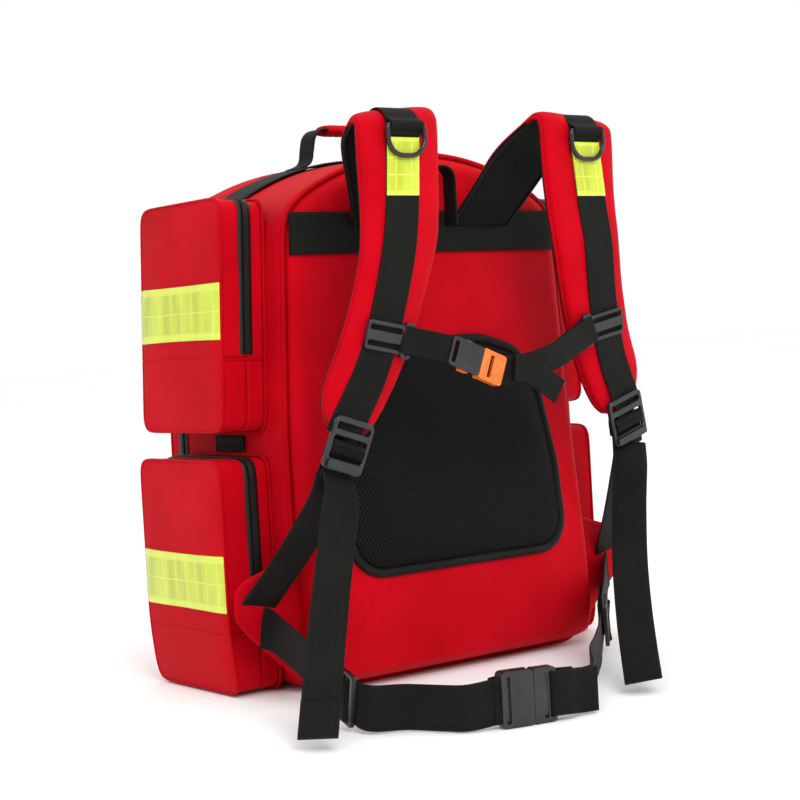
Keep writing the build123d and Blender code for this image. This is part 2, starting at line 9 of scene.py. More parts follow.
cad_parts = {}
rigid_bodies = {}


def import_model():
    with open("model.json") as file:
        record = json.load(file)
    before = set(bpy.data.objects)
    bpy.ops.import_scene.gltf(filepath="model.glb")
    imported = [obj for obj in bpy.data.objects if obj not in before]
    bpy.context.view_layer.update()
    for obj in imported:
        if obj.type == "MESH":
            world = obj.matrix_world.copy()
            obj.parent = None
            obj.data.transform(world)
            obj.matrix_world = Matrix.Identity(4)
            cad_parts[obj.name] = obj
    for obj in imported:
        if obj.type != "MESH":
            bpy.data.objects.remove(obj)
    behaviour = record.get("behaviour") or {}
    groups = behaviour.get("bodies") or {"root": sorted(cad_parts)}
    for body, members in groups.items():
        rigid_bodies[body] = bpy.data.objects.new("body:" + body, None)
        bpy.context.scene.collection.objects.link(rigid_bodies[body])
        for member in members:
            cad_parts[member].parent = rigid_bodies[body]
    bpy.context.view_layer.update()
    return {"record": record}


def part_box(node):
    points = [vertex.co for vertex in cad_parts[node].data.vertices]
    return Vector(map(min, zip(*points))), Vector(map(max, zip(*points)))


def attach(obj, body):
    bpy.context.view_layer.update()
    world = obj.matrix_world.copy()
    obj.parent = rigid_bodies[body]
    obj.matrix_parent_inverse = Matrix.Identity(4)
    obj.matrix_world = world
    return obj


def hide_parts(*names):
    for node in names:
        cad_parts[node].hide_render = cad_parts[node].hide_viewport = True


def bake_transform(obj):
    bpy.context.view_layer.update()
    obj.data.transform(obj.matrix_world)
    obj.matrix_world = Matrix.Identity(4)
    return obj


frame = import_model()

MM = 0.001

# ---------------------------------------------------------------- sizes read from the frame
shell_lo, shell_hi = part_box("main_shell")
HALF_W = shell_hi.x
HEIGHT = shell_hi.z
BACK = shell_lo.y
FRONT = shell_hi.y
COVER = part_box("main_cover")[0].y
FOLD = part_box("main_cover")[0].z - 0.3 * MM
ZIP_Y = COVER - 2.3 * MM
HALF_TOP = HALF_W * 0.94
LEAN_Z = 240 * MM
ARCH_Z = HEIGHT - 53.5 * MM
WEB = 2.0 * MM
SIDES = {"right": -1, "left": 1}


# ---------------------------------------------------------------- mesh helpers
def link(obj, body, slot_name, material, replaced=(), extra=()):
    """Puts a piece in the scene with its materials and its body; slot_name is not used."""
    bpy.context.scene.collection.objects.link(obj)
    obj.data.materials.clear()
    for m in (material, *extra):
        obj.data.materials.append(m)
    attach(obj, body)
    if replaced:
        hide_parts(*replaced)
    return obj


def grid_object(name, points, uvs=None, wrap=False, flip=False):
    """A mesh of quads through a rows x columns array of points; wrap joins the last column to the first."""
    points = np.asarray(points, float)
    rows, cols = points.shape[:2]
    if uvs is None:
        uvs = metric_uv(points, wrap)
    last = cols if wrap else cols - 1
    faces, loops = [], []
    for r in range(rows - 1):
        for c in range(last):
            d = (c + 1) % cols
            quad = [r * cols + c, r * cols + d, (r + 1) * cols + d, (r + 1) * cols + c]
            uv = [uvs[r, c], uvs[r, c + 1], uvs[r + 1, c + 1], uvs[r + 1, c]]
            if flip:
                quad.reverse()
                uv.reverse()
            faces.append(quad)
            loops.extend(uv)
    mesh = bpy.data.meshes.new(name)
    mesh.from_pydata(points.reshape(-1, 3).tolist(), [], faces)
    layer = mesh.uv_layers.new(name="UVMap")
    layer.data.foreach_set("uv", np.asarray(loops, np.float32).ravel())
    if np.ptp(points[-1], axis=0).max() < 1e-7:
        bm = bmesh.new()
        bm.from_mesh(mesh)
        bm.verts.ensure_lookup_table()
        bmesh.ops.remove_doubles(bm, verts=bm.verts[-cols:], dist=1e-6)
        bm.to_mesh(mesh)
        bm.free()
    mesh.polygons.foreach_set("use_smooth", [True] * len(mesh.polygons))
    return bpy.data.objects.new(name, mesh)


def metric_uv(points, wrap):
    """UVs in metres: distance along the columns and along the rows."""
    rows = len(points)
    ring = np.concatenate([points, points[:, :1]], axis=1) if wrap else points
    u = np.zeros((rows, ring.shape[1]))
    u[:, 1:] = np.cumsum(np.linalg.norm(np.diff(ring, axis=1), axis=2), axis=1)
    u = np.repeat(u[rows // 2][None], rows, axis=0)
    v = np.zeros_like(u)
    v[1:] = np.cumsum(np.linalg.norm(np.diff(ring, axis=0), axis=2), axis=0)
    v = np.repeat(v.mean(axis=1)[:, None], ring.shape[1], axis=1)
    return np.stack([u, v], axis=2)


def flat_uv(points, u_axis, v_axis, wrap=True):
    """UVs in metres seen straight on, along two world axes."""
    ring = np.concatenate([points, points[:, :1]], axis=1) if wrap else points
    return np.stack([ring @ np.asarray(u_axis, float), ring @ np.asarray(v_axis, float)], axis=2)


def smooth_loop(corners, count, soften):
    """Closed outline of count points through corners, its corners rounded; starts at the first corner."""
    corners = np.asarray(corners, float)
    ring = np.vstack([corners, corners[:1]])
    steps = np.linalg.norm(np.diff(ring, axis=0), axis=1)
    at = np.concatenate([[0], np.cumsum(steps)])
    total = at[-1]
    fine = 4 * count
    s = np.arange(fine) / fine * total
    line = np.stack([np.interp(s, at, ring[:, k]) for k in range(ring.shape[1])], axis=1)
    freq = np.fft.fftfreq(fine, total / fine)
    kernel = np.exp(-0.5 * (2 * math.pi * freq * soften) ** 2)
    line = np.real(np.fft.ifft(np.fft.fft(line, axis=0) * kernel[:, None], axis=0))
    return line[::4]


def smooth_path(points, step, soften=0.0):
    """Open line through points with even steps, its corners softened and its ends kept."""
    points = np.asarray(points, float)
    steps = np.linalg.norm(np.diff(points, axis=0), axis=1)
    at = np.concatenate([[0], np.cumsum(steps)])
    count = max(4, int(round(at[-1] / step)) + 1)
    s = np.linspace(0, at[-1], count)
    line = np.stack([np.interp(s, at, points[:, k]) for k in range(points.shape[1])], axis=1)
    if soften:
        reach = int(3 * soften / step) + 1
        head = 2 * line[0] - line[1:reach + 1][::-1]
        tail = 2 * line[-1] - line[-reach - 1:-1][::-1]
        padded = np.vstack([head, line, tail])
        kernel = np.exp(-0.5 * (np.arange(-reach, reach + 1) * step / soften) ** 2)
        kernel /= kernel.sum()
        line = np.stack([np.convolve(padded[:, k], kernel, "valid") for k in range(line.shape[1])],
                        axis=1)
    return line


def unit(v):
    return v / np.maximum(np.linalg.norm(v, axis=-1, keepdims=True), 1e-9)


def wobble(points, size, seed=0.0):
    """Smooth noise in -1..1 at each point, with features of about size metres."""
    flat = np.asarray(points, float).reshape(-1, 3) / size + seed
    values = [noise.noise(Vector(p)) for p in flat]
    return np.array(values).reshape(np.asarray(points).shape[:-1])


def applied(obj, *modifiers):
    """Adds modifiers given as (type, settings), applies them all and returns the object."""
    for kind, settings in modifiers:
        modifier = obj.modifiers.new(kind, kind)
        for key, value in settings.items():
            setattr(modifier, key, value)
    bpy.context.scene.collection.objects.link(obj)
    bpy.context.view_layer.update()
    graph = bpy.context.evaluated_depsgraph_get()
    mesh = bpy.data.meshes.new_from_object(obj.evaluated_get(graph))
    bpy.context.scene.collection.objects.unlink(obj)
    obj.modifiers.clear()
    obj.data = mesh
    mesh.polygons.foreach_set("use_smooth", [True] * len(mesh.polygons))
    return obj


def thick(obj, thickness, lined=False):
    """Gives a surface the thickness of its cloth, on the side away from its normals."""
    settings = {"thickness": thickness, "offset": -1.0}
    if lined:
        settings["material_offset"] = 1
    return applied(obj, ("SOLIDIFY", settings))


def join(name, objects):
    """Joins loose objects into one new object."""
    bm = bmesh.new()
    for obj in objects:
        bm.from_mesh(obj.data)
        bpy.data.objects.remove(obj)
    mesh = bpy.data.meshes.new(name)
    bm.to_mesh(mesh)
    bm.free()
    return bpy.data.objects.new(name, mesh)


def cut(obj, point, normal, keep_inside):
    """Cuts a mesh by a plane and keeps the side the normal points to, or the other one."""
    bm = bmesh.new()
    bm.from_mesh(obj.data)
    geometry = bm.verts[:] + bm.edges[:] + bm.faces[:]
    bmesh.ops.bisect_plane(bm, geom=geometry, plane_co=point, plane_no=normal,
                           clear_outer=keep_inside, clear_inner=not keep_inside)
    bm.to_mesh(obj.data)
    bm.free()
    return obj


def copy_of(obj, name):
    return bpy.data.objects.new(name, obj.data.copy())


def tube(name, path, radius, sides=8, closed=False, squash=1.0, normal=None):
    """Round cord along a path of points."""
    path = np.asarray(path, float)
    tangent = np.roll(path, -1, 0) - np.roll(path, 1, 0) if closed else np.gradient(path, axis=0)
    tangent = unit(tangent)
    ref = np.asarray(normal if normal is not None else (0.3, 0.5, 0.8), float)
    ref = np.broadcast_to(ref, path.shape)
    a = unit(np.cross(tangent, ref))
    b = np.cross(a, tangent)
    angle = np.arange(sides) * 2 * math.pi / sides
    ring = (a[:, None] * np.cos(angle)[None, :, None] + b[:, None] * np.sin(angle)[None, :,
                                                                                   None] * squash)
    points = path[:, None] + ring * radius
    if closed:
        points = np.concatenate([points, points[:1]], axis=0)
    return grid_object(name, points, wrap=True, flip=True)


def stitches(name, rows, length=3.0 * MM, gap=1.6 * MM, radius=0.42 * MM):
    """Rows of single stitches, each row given as (points, outward normals)."""
    verts, faces = [], []
    for path, normals in rows:
        path, normals = np.asarray(path, float), np.asarray(normals, float)
        normals = np.broadcast_to(normals, path.shape)
        steps = np.linalg.norm(np.diff(path, axis=0), axis=1)
        at = np.concatenate([[0], np.cumsum(steps)])
        s = 0.0
        while s + length < at[-1]:
            a = np.array([np.interp(s, at, path[:, k]) for k in range(3)])
            b = np.array([np.interp(s + length, at, path[:, k]) for k in range(3)])
            n = unit(np.array([np.interp(s, at, normals[:, k]) for k in range(3)]))
            side = unit(np.cross(b - a, n)) * radius
            mid = (a + b) / 2
            base = len(verts)
            verts += [a - n * 0.2 * MM, mid + side, mid + n * radius, mid - side, b - n * 0.2 * MM]
            faces += [[base, base + 1, base + 2], [base, base + 2, base + 3],
                      [base + 4, base + 2, base + 1], [base + 4, base + 3, base + 2],
                      [base, base + 3, base + 4, base + 1]]
            s += length + gap
    mesh = bpy.data.meshes.new(name)
    mesh.from_pydata([tuple(v) for v in verts], [], faces)
    return bpy.data.objects.new(name, mesh)


def ribbon(name, path, wide, width, thickness=WEB, ripple=0.0):
    """Flat webbing with rounded edges along a path; wide is its width direction at each point."""
    path = np.asarray(path, float)
    wide = np.broadcast_to(np.asarray(wide, float), path.shape)
    tangent = unit(np.gradient(path, axis=0))
    wide = unit(wide - tangent * (wide * tangent).sum(-1, keepdims=True))
    normal = np.cross(tangent, wide)
    half, t = width / 2, thickness / 2
    across = np.array([-1, -0.985, -0.93, -0.6, 0, 0.6, 0.93, 0.985, 1])
    rise = np.array([0.0, 0.7, 1.0, 1.0, 1.0, 1.0, 1.0, 0.7, 0.0])
    top = [(a * half, r * t) for a, r in zip(across, rise)]
    under = [(a * half, -r * t) for a, r in zip(across[::-1][1:-1], rise[::-1][1:-1])]
    section = np.array(top + under)
    lift = ripple * wobble(path, 0.05)[:, None, None] if ripple else 0.0
    points = (path[:, None] + wide[:, None] * section[None, :, :1]
              + normal[:, None] * (section[None, :, 1:] + lift))
    length = np.concatenate([[0], np.cumsum(np.linalg.norm(np.diff(path, axis=0), axis=1))])
    ring = np.vstack([section, section[:1]])
    uvs = np.zeros((len(path), len(ring), 2))
    uvs[..., 0] = ring[None, :, 0] + half
    uvs[..., 1] = length[:, None]
    obj = grid_object(name, points, uvs, wrap=True)
    cap_ends(obj, len(section), len(path))
    return obj


def cap_ends(obj, ring, rows):
    """Closes the two ends of a tube-like mesh."""
    bm = bmesh.new()
    bm.from_mesh(obj.data)
    bm.verts.ensure_lookup_table()
    bm.faces.new([bm.verts[i] for i in range(ring)])
    bm.faces.new([bm.verts[(rows - 1) * ring + i] for i in reversed(range(ring))])
    bm.to_mesh(obj.data)
    bm.free()


# ---------------------------------------------------------------- materials
class Nodes:
    """A small helper for building node materials."""

    def __init__(self, name):
        self.material = bpy.data.materials.new(name)
        self.material.use_nodes = True
        self.tree = self.material.node_tree
        self.shader = self.tree.nodes["Principled BSDF"]

    def add(self, kind, **inputs):
        node = self.tree.nodes.new(kind)
        for key, value in inputs.items():
            key = key.replace("_", " ")
            if hasattr(value, "is_output"):
                self.tree.links.new(value, node.inputs[key])
            else:
                node.inputs[key].default_value = value
        return node

    def maths(self, operation, a, b=0.0, c=None):
        node = self.tree.nodes.new("ShaderNodeMath")
        node.operation = operation
        for socket, value in zip(node.inputs, (a, b, c)):
            if value is None:
                continue
            if hasattr(value, "is_output"):
                self.tree.links.new(value, socket)
            else:
                socket.default_value = value
        return node.outputs[0]

    def uv(self):
        split = self.tree.nodes.new("ShaderNodeSeparateXYZ")
        coords = self.tree.nodes.new("ShaderNodeTexCoord")
        self.tree.links.new(coords.outputs["UV"], split.inputs[0])
        return split.outputs[0], split.outputs[1]

    def wave(self, value, period):
        """0..1 ridges with a period in metres."""
        s = self.maths("SINE", self.maths("MULTIPLY", value, 2 * math.pi / period))
        return self.maths("MULTIPLY_ADD", s, 0.5, 0.5)

    def noise(self, scale, detail=3.0, roughness=0.55, space="Object"):
        coords = self.tree.nodes.new("ShaderNodeTexCoord")
        return self.add("ShaderNodeTexNoise", Vector=coords.outputs[space], Scale=scale,
                        Detail=detail, Roughness=roughness).outputs["Fac"]

    def ramp(self, fac, stops):
        node = self.add("ShaderNodeValToRGB", Fac=fac)
        elements = node.color_ramp.elements
        elements[0].position, elements[0].color = stops[0][0], (*stops[0][1], 1)
        elements[1].position, elements[1].color = stops[-1][0], (*stops[-1][1], 1)
        for position, colour in stops[1:-1]:
            elements.new(position).color = (*colour, 1)
        return node.outputs["Color"]

    def mix(self, fac, a, b, mode="MIX"):
        node = self.tree.nodes.new("ShaderNodeMix")
        node.data_type = "RGBA"
        node.blend_type = mode
        for socket, value in ((node.inputs[0], fac), (node.inputs[6], a), (node.inputs[7], b)):
            if hasattr(value, "is_output"):
                self.tree.links.new(value, socket)
            elif isinstance(value, tuple):
                socket.default_value = (*value, 1)
            else:
                socket.default_value = value
        return node.outputs[2]

    def finish(self, colour, rough, height=None, depth=0.1 * MM, strength=1.0, **settings):
        for socket, value in (("Base Color", colour), ("Roughness", rough)):
            if hasattr(value, "is_output"):
                self.tree.links.new(value, self.shader.inputs[socket])
            else:
                plain = (*value, 1) if isinstance(value, tuple) else value
                self.shader.inputs[socket].default_value = plain
        if height is not None:
            bump = self.add("ShaderNodeBump", Height=height, Distance=depth, Strength=strength)
            self.tree.links.new(bump.outputs[0], self.shader.inputs["Normal"])
        for key, value in settings.items():
            self.shader.inputs[key.replace("_", " ")].default_value = value
        return self.material


def cloth_material(name, dark, base, light, thread=0.75 * MM, rough=0.68, sheen=0.03, tint=(1, 1, 1)):
    """Woven polyester: over-and-under threads, slight unevenness and soft sheen."""
    n = Nodes(name)
    u, v = n.uv()
    warp, weft = n.wave(u, thread), n.wave(v, thread)
    cell = n.maths("MULTIPLY", n.wave(u, 2 * thread), n.wave(v, 2 * thread))
    weave = n.maths("ADD", n.maths("MULTIPLY", warp, weft), n.maths("MULTIPLY", cell, 0.5))
    broad = n.noise(14.0, 3.0)
    fine = n.noise(420.0, 2.0)
    colour = n.ramp(broad, [(0.3, dark), (0.5, base), (0.72, light)])
    shade = n.maths("MULTIPLY_ADD", n.maths("MULTIPLY", weave, fine), 0.34, 0.80)
    grey = n.add("ShaderNodeCombineColor", Red=shade, Green=shade, Blue=shade).outputs[0]
    colour = n.mix(1.0, colour, grey, "MULTIPLY")
    height = n.maths("ADD", weave, n.maths("MULTIPLY", fine, 0.8))
    roughness = n.maths("MULTIPLY_ADD", fine, 0.2, rough - 0.1)
    return n.finish(colour, roughness, height, 0.16 * MM, 0.8, Sheen_Weight=sheen, Sheen_Roughness=0.4,
                    Sheen_Tint=(*tint, 1), Specular_IOR_Level=0.14, Specular_Tint=(*tint, 1))


def webbing_material(name, base, light, width):
    """Ribbed webbing: cross ribs in a herringbone of narrow columns, with tight selvedges."""
    n = Nodes(name)
    u, v = n.uv()
    column = 3.2 * MM
    zig = n.maths("PINGPONG", u, column)
    slanted = n.maths("ADD", v, n.maths("MULTIPLY", zig, 0.75))
    ribs = n.wave(slanted, 1.5 * MM)
    seams = n.wave(u, column)
    edge = n.maths("MINIMUM", u, n.maths("SUBTRACT", width, u))
    selvedge = n.maths("LESS_THAN", edge, 2.2 * MM)
    fine = n.noise(600.0, 2.0)
    broad = n.noise(20.0, 2.0)
    tone = n.maths("MULTIPLY_ADD", ribs, 0.5, n.maths("MULTIPLY", fine, 0.55))
    tone = n.maths("ADD", tone, n.maths("MULTIPLY_ADD", broad, 0.5, n.maths("MULTIPLY", selvedge, 0.12)))
    colour = n.ramp(tone, [(0.35, base), (1.25, light)])
    height = n.maths("ADD", ribs, n.maths("MULTIPLY", n.maths("ADD", seams, fine), 0.35))
    return n.finish(colour, 0.6, height, 0.3 * MM, 0.85, Specular_IOR_Level=0.09)


def mesh_material(name):
    """Black spacer mesh: rows of small holes in a diamond lattice, the holes darkened as painted shade and
    the threads between painted lighter as a painted sheen.
    """
    n = Nodes(name)
    u, v = n.uv()
    pitch = 4.0 * MM
    a = n.maths("ADD", u, n.maths("MULTIPLY", v, 0.6))
    b = n.maths("SUBTRACT", u, n.maths("MULTIPLY", v, 0.6))
    lattice = n.maths("MULTIPLY", n.wave(a, pitch), n.wave(b, pitch))
    hole = n.maths("SMOOTH_MIN", n.maths("MULTIPLY", lattice, 2.2), 1.0, 0.4)
    fine = n.noise(700.0, 2.0)
    # painted shade and painted sheen: the colour goes darker in the holes and lighter on the threads between
    # them
    tone = n.maths("MULTIPLY_ADD", hole, 0.62, n.maths("MULTIPLY", fine, 0.4))
    colour = n.ramp(tone, [(0.1, (0.001, 0.001, 0.001)), (0.45, (0.004, 0.004, 0.004)),
                           (1.0, (0.014, 0.014, 0.013))])
    return n.finish(colour, 0.62, n.maths("ADD", hole, n.maths("MULTIPLY", fine, 0.3)), 0.8 * MM, 0.9,
                    Specular_IOR_Level=0.08)


def tape_material(name, cell, border, width):
    """Fluorescent vinyl over tiny prisms: welded grid lines, a plain border, and soft folds that are only
    painted: pale streaks of painted highlight and darker streaks of painted shade.
    """
    n = Nodes(name)
    u, v = n.uv()
    prism = n.maths("MULTIPLY", n.wave(u, 1.9 * MM), n.wave(v, 1.9 * MM))
    coords = n.tree.nodes.new("ShaderNodeTexCoord")
    stretch = n.tree.nodes.new("ShaderNodeMapping")
    stretch.inputs["Scale"].default_value = (42.0, 7.0, 1.0)
    n.tree.links.new(coords.outputs["UV"], stretch.inputs["Vector"])
    # painted highlight and painted shade: stretched streaks stand for the light and shade of soft folds; the
    # palest stop is a painted highlight, the neon yellow-green is the tape's own colour
    painted_fold_light = n.add("ShaderNodeTexNoise", Vector=stretch.outputs[0], Scale=1.0, Detail=2.0,
                  Roughness=0.5).outputs["Fac"]
    colour = n.ramp(painted_fold_light, [(0.30, (0.40, 0.46, 0.012)), (0.46, (0.56, 0.66, 0.025)),
                            (0.58, (0.62, 0.74, 0.035)),
                            (0.72, (0.84, 0.88, 0.22))])
    along = n.maths("PINGPONG", u, cell[0] / 2)
    over = n.maths("PINGPONG", n.maths("SUBTRACT", v, border), cell[1])
    over = n.maths("MINIMUM", over, n.maths("SUBTRACT", cell[1], over))
    inside = n.maths("MULTIPLY", n.maths("GREATER_THAN", v, border),
                     n.maths("LESS_THAN", v, width - border))
    lines = n.maths("MAXIMUM", n.maths("LESS_THAN", n.maths("SUBTRACT", cell[0] / 2, along), 0.8 * MM),
                    n.maths("LESS_THAN", over, 0.8 * MM))
    weld = n.maths("MAXIMUM", n.maths("MULTIPLY", lines, inside), n.maths("SUBTRACT", 1.0, inside))
    tone = n.maths("MULTIPLY_ADD", prism, 0.14, 0.86)
    grey = n.add("ShaderNodeCombineColor", Red=tone, Green=tone, Blue=tone).outputs[0]
    colour = n.mix(1.0, colour, grey, "MULTIPLY")
    colour = n.mix(n.maths("MULTIPLY", weld, 0.6), colour, (0.70, 0.82, 0.07))
    height = n.maths("SUBTRACT", n.maths("MULTIPLY", prism, 0.5), n.maths("MULTIPLY", weld, 0.8))
    return n.finish(colour, 0.28, height, 0.3 * MM, 0.7, Coat_Weight=0.35, Coat_Roughness=0.08)


def plastic_material(name, base, light, rough):
    """Moulded acetal: fine spark-eroded grain, slightly polished and paler where hands rub it."""
    n = Nodes(name)
    grain = n.noise(1500.0, 2.0)
    patch = n.noise(60.0, 3.0)
    colour = n.ramp(patch, [(0.35, base), (0.75, light)])
    roughness = n.maths("MULTIPLY_ADD", patch, 0.25, rough - 0.12)
    return n.finish(colour, roughness, n.maths("ADD", grain, patch), 0.08 * MM, 0.6,
                    Specular_IOR_Level=0.5)


def zip_material(name):
    """Zip tape: fine ribs across a flat black tape."""
    n = Nodes(name)
    ribs = n.wave(n.uv()[0], 1.1 * MM)
    fine = n.noise(500.0, 2.0)
    tone = n.maths("MULTIPLY_ADD", ribs, 0.4, n.maths("MULTIPLY", fine, 0.6))
    colour = n.ramp(tone, [(0.25, (0.001, 0.001, 0.001)), (0.9, (0.008, 0.008, 0.008))])
    return n.finish(colour, 0.5, tone, 0.2 * MM, 0.8, Specular_IOR_Level=0.3)


RED = cloth_material("red_cloth", (0.50, 0.001, 0.007), (0.56, 0.0015, 0.009), (0.63, 0.002, 0.012),
                     tint=(1.0, 0.15, 0.2))
RED_TRIM = cloth_material("red_trim", (0.46, 0.001, 0.006), (0.53, 0.0015, 0.008), (0.60, 0.002, 0.011),
                          0.5 * MM,
                          tint=(1.0, 0.15, 0.2))
LINING = cloth_material("grey_lining", (0.10, 0.10, 0.11), (0.15, 0.15, 0.16), (0.2, 0.2, 0.21), 0.6 * MM)
BELT_BLACK = webbing_material("webbing_38", (0.001, 0.001, 0.001), (0.011, 0.011, 0.010), 38 * MM)
STRAP_BLACK = webbing_material("webbing_36", (0.001, 0.001, 0.001), (0.011, 0.011, 0.010), 36 * MM)
SMALL_BLACK = webbing_material("webbing_25", (0.001, 0.001, 0.001), (0.011, 0.011, 0.010), 25 * MM)
BLACK_MESH = mesh_material("black_mesh")
BLACK_TRIM = cloth_material("black_trim", (0.003, 0.003, 0.003), (0.005, 0.005, 0.005),
                            (0.009, 0.009, 0.009),
                            0.45 * MM, 0.5)
TAPE = tape_material("neon_tape", (18 * MM, 19.5 * MM), 6.5 * MM, 52 * MM)
PATCH = tape_material("neon_patch", (17 * MM, 14.7 * MM), 4 * MM, 52 * MM)
ZIP = zip_material("zip_tape")
DARK = plastic_material("dark_acetal", (0.006, 0.0065, 0.007), (0.018, 0.019, 0.020), 0.33)
ORANGE = plastic_material("orange_acetal", (0.80, 0.13, 0.008), (0.95, 0.22, 0.02), 0.34)
ENAMEL = plastic_material("black_enamel", (0.004, 0.004, 0.004), (0.012, 0.012, 0.012), 0.25)
RED_THREAD = cloth_material("red_thread", (0.30, 0.004, 0.010), (0.36, 0.005, 0.012),
                            (0.42, 0.006, 0.014), 0.3 * MM)
BLACK_THREAD = cloth_material("black_thread", (0.008, 0.008, 0.008), (0.012, 0.012, 0.012),
                              (0.02, 0.02, 0.02), 0.3 * MM)


# ---------------------------------------------------------------- outlines and surfaces
def fillet_path(points, radii, step=3 * MM):
    """Open line through points with round bends of the given radii."""
    points = [np.asarray(p, float) for p in points]
    line = [points[0]]
    for a, b, c, r in zip(points, points[1:], points[2:], radii):
        u, v = unit(a - b), unit(c - b)
        half = math.acos(float(np.clip(u @ v, -1, 1))) / 2
        centre = b + unit(u + v) * (r / math.sin(half))
        p, q = b + u * (r / math.tan(half)) - centre, b + v * (r / math.tan(half)) - centre
        turn = math.pi - 2 * half
        count = max(3, int(r * turn / step))
        for i in range(count + 1):
            k = i / count
            line.append(centre + (p * math.sin((1 - k) * turn) + q * math.sin(k * turn)) / math.sin(turn))
    line.append(points[-1])
    return smooth_path(line, step)


def mm(*points):
    """Points given in millimetres, in metres."""
    return [tuple(c * MM for c in p) for p in points]


def outline_normals(loop):
    """Outward normals of a closed outline that runs anticlockwise."""
    t = unit(np.roll(loop, -1, 0) - np.roll(loop, 1, 0))
    return np.stack([t[:, 1], -t[:, 0]], axis=1)


ARCH_R = (HALF_TOP ** 2 + (HEIGHT - ARCH_Z) ** 2) / (2 * (HEIGHT - ARCH_Z))


def crown(x):
    """Height of the crown's arch over x."""
    return HEIGHT - ARCH_R + np.sqrt(ARCH_R ** 2 - np.asarray(x) ** 2)


def pack_outline(count):
    xs = np.linspace(HALF_TOP, -HALF_TOP, 40)
    corners = [(0, 0), (HALF_W, 0), (HALF_W, LEAN_Z), *zip(xs, crown(xs)), (-HALF_W, LEAN_Z),
               (-HALF_W, 0)]
    return smooth_loop(corners, count, 19 * MM)


LOOP = pack_outline(360)
LOOP_OUT = outline_normals(LOOP)


def facing(obj, centre):
    """Turns a surface so that its faces look away from a point."""
    mesh = obj.data
    total = sum((f.center - Vector(centre)).normalized().dot(f.normal) * f.area for f in mesh.polygons)
    if total < 0:
        mesh.flip_normals()
    return obj


def rings_to_centre(loop, normals, insets, scales, centre):
    """Outlines inside one another: first moved inward by insets, then shrunk to a point at the centre."""
    rings = [loop - normals * e for e in insets]
    last = rings[-1]
    scales = [*scales, 0.0]
    rings += [centre + (last - centre) * s for s in scales]
    span = np.linalg.norm(last - centre, axis=1)
    apart = [np.full(len(loop), e) for e in insets] + [insets[-1] + span * (1 - s) for s in scales]
    return np.array(rings), np.array(apart)


def upright(flat, depth):
    """3-D points of flat (x, z) points at a depth y."""
    flat = np.asarray(flat)
    return np.stack([flat[..., 0], np.broadcast_to(depth, flat.shape[:-1]), flat[..., 1]], axis=-1)


def stood(name, flat, depth, centre):
    """A ring mesh of flat outlines at their depths, with its weave square to the front."""
    points = upright(flat, depth)
    return facing(grid_object(name, points, flat_uv(points, (1, 0, 0), (0, 0, 1)), wrap=True), centre)


def half_width(z):
    return np.interp(z, [0, LEAN_Z, ARCH_Z, HEIGHT], [HALF_W, HALF_W, HALF_TOP, HALF_TOP * 0.985])


HEIGHTS = np.linspace(-20, 520, 271) * MM
RAW = np.interp(HEIGHTS / MM, [0, 45, 100, 250, 400, 497], [33, 38, 34, 16, 12, 10])
KERNEL = np.exp(-0.5 * (np.arange(-20, 21) * 2 / 16.0) ** 2)
DEPTHS = np.convolve(np.pad(RAW, 20, mode="edge"), KERNEL / KERNEL.sum(), "valid") * MM


def panel_depth(x, z, edge=None):
    """How far the padded back panel stands behind the back wall, rounded at its edges."""
    x, z = np.asarray(x, float), np.asarray(z, float)
    if edge is None:
        edge = np.minimum(half_width(z) - np.abs(x),
                          np.minimum(crown(np.clip(x, -0.16, 0.16)) - z, z)) - 5 * MM
        corner = np.hypot(np.clip(np.abs(x) - HALF_W + 28 * MM, 0, 1), np.clip(28 * MM - z, 0, 1))
        edge = np.where((np.abs(x) > HALF_W - 28 * MM) & (z < 28 * MM), 23 * MM - corner, edge)
    full = np.interp(z, HEIGHTS, DEPTHS) + 3 * MM * (1 - (x / HALF_W) ** 2) - 1 * MM
    radius = 15 * MM
    round_off = np.sqrt(1 - (1 - np.clip(edge / radius, 0, 1)) ** 2)
    flat = np.stack([x, z, np.full_like(x, 3.1)], axis=-1)
    quiet = np.clip(edge / (30 * MM), 0, 1)
    sag = wobble(flat, 0.11) * 2.2 * MM + wobble(flat, 0.035, 4.0) * 0.5 * MM
    return full * round_off + sag * quiet


# ---------------------------------------------------------------- main compartment
def gusset(name, depths, loop, normals, insets):
    """A wall round the pack's outline at several depths, each moved inward by an inset."""
    rows = []
    for y, inset in zip(depths, insets):
        rows.append(upright(loop - normals * inset, y))
    points = np.array(rows)
    soft = wobble(points, 0.07) * 1.3 * MM + wobble(points * [1, 0.3, 1], 0.018, 7.0) * 0.35 * MM
    inner = np.minimum(np.minimum(np.asarray(depths) - depths[0],
                                  depths[-1] - np.asarray(depths)) / (15 * MM), 1)
    out = np.stack([normals[:, 0], np.zeros(len(normals)), normals[:, 1]], axis=1)
    low = np.clip(points[..., 2] / (20 * MM), 0, 1)
    points = points + out[None] * (soft * inner[:, None] * low)[..., None]
    return facing(grid_object(name, points, wrap=True), (0, 0, 0.25))


depths = [BACK - 1 * MM, BACK, BACK + 2 * MM, *np.arange(BACK + 6 * MM, ZIP_Y, 4 * MM), ZIP_Y + 0.5 * MM,
          COVER - 1 * MM]
insets = [12 * MM, 4 * MM, 0.6 * MM] + [0.0] * (len(depths) - 5) + [0.0, 0.0]
body_wall = gusset("body_wall", depths, LOOP, LOOP_OUT, insets)


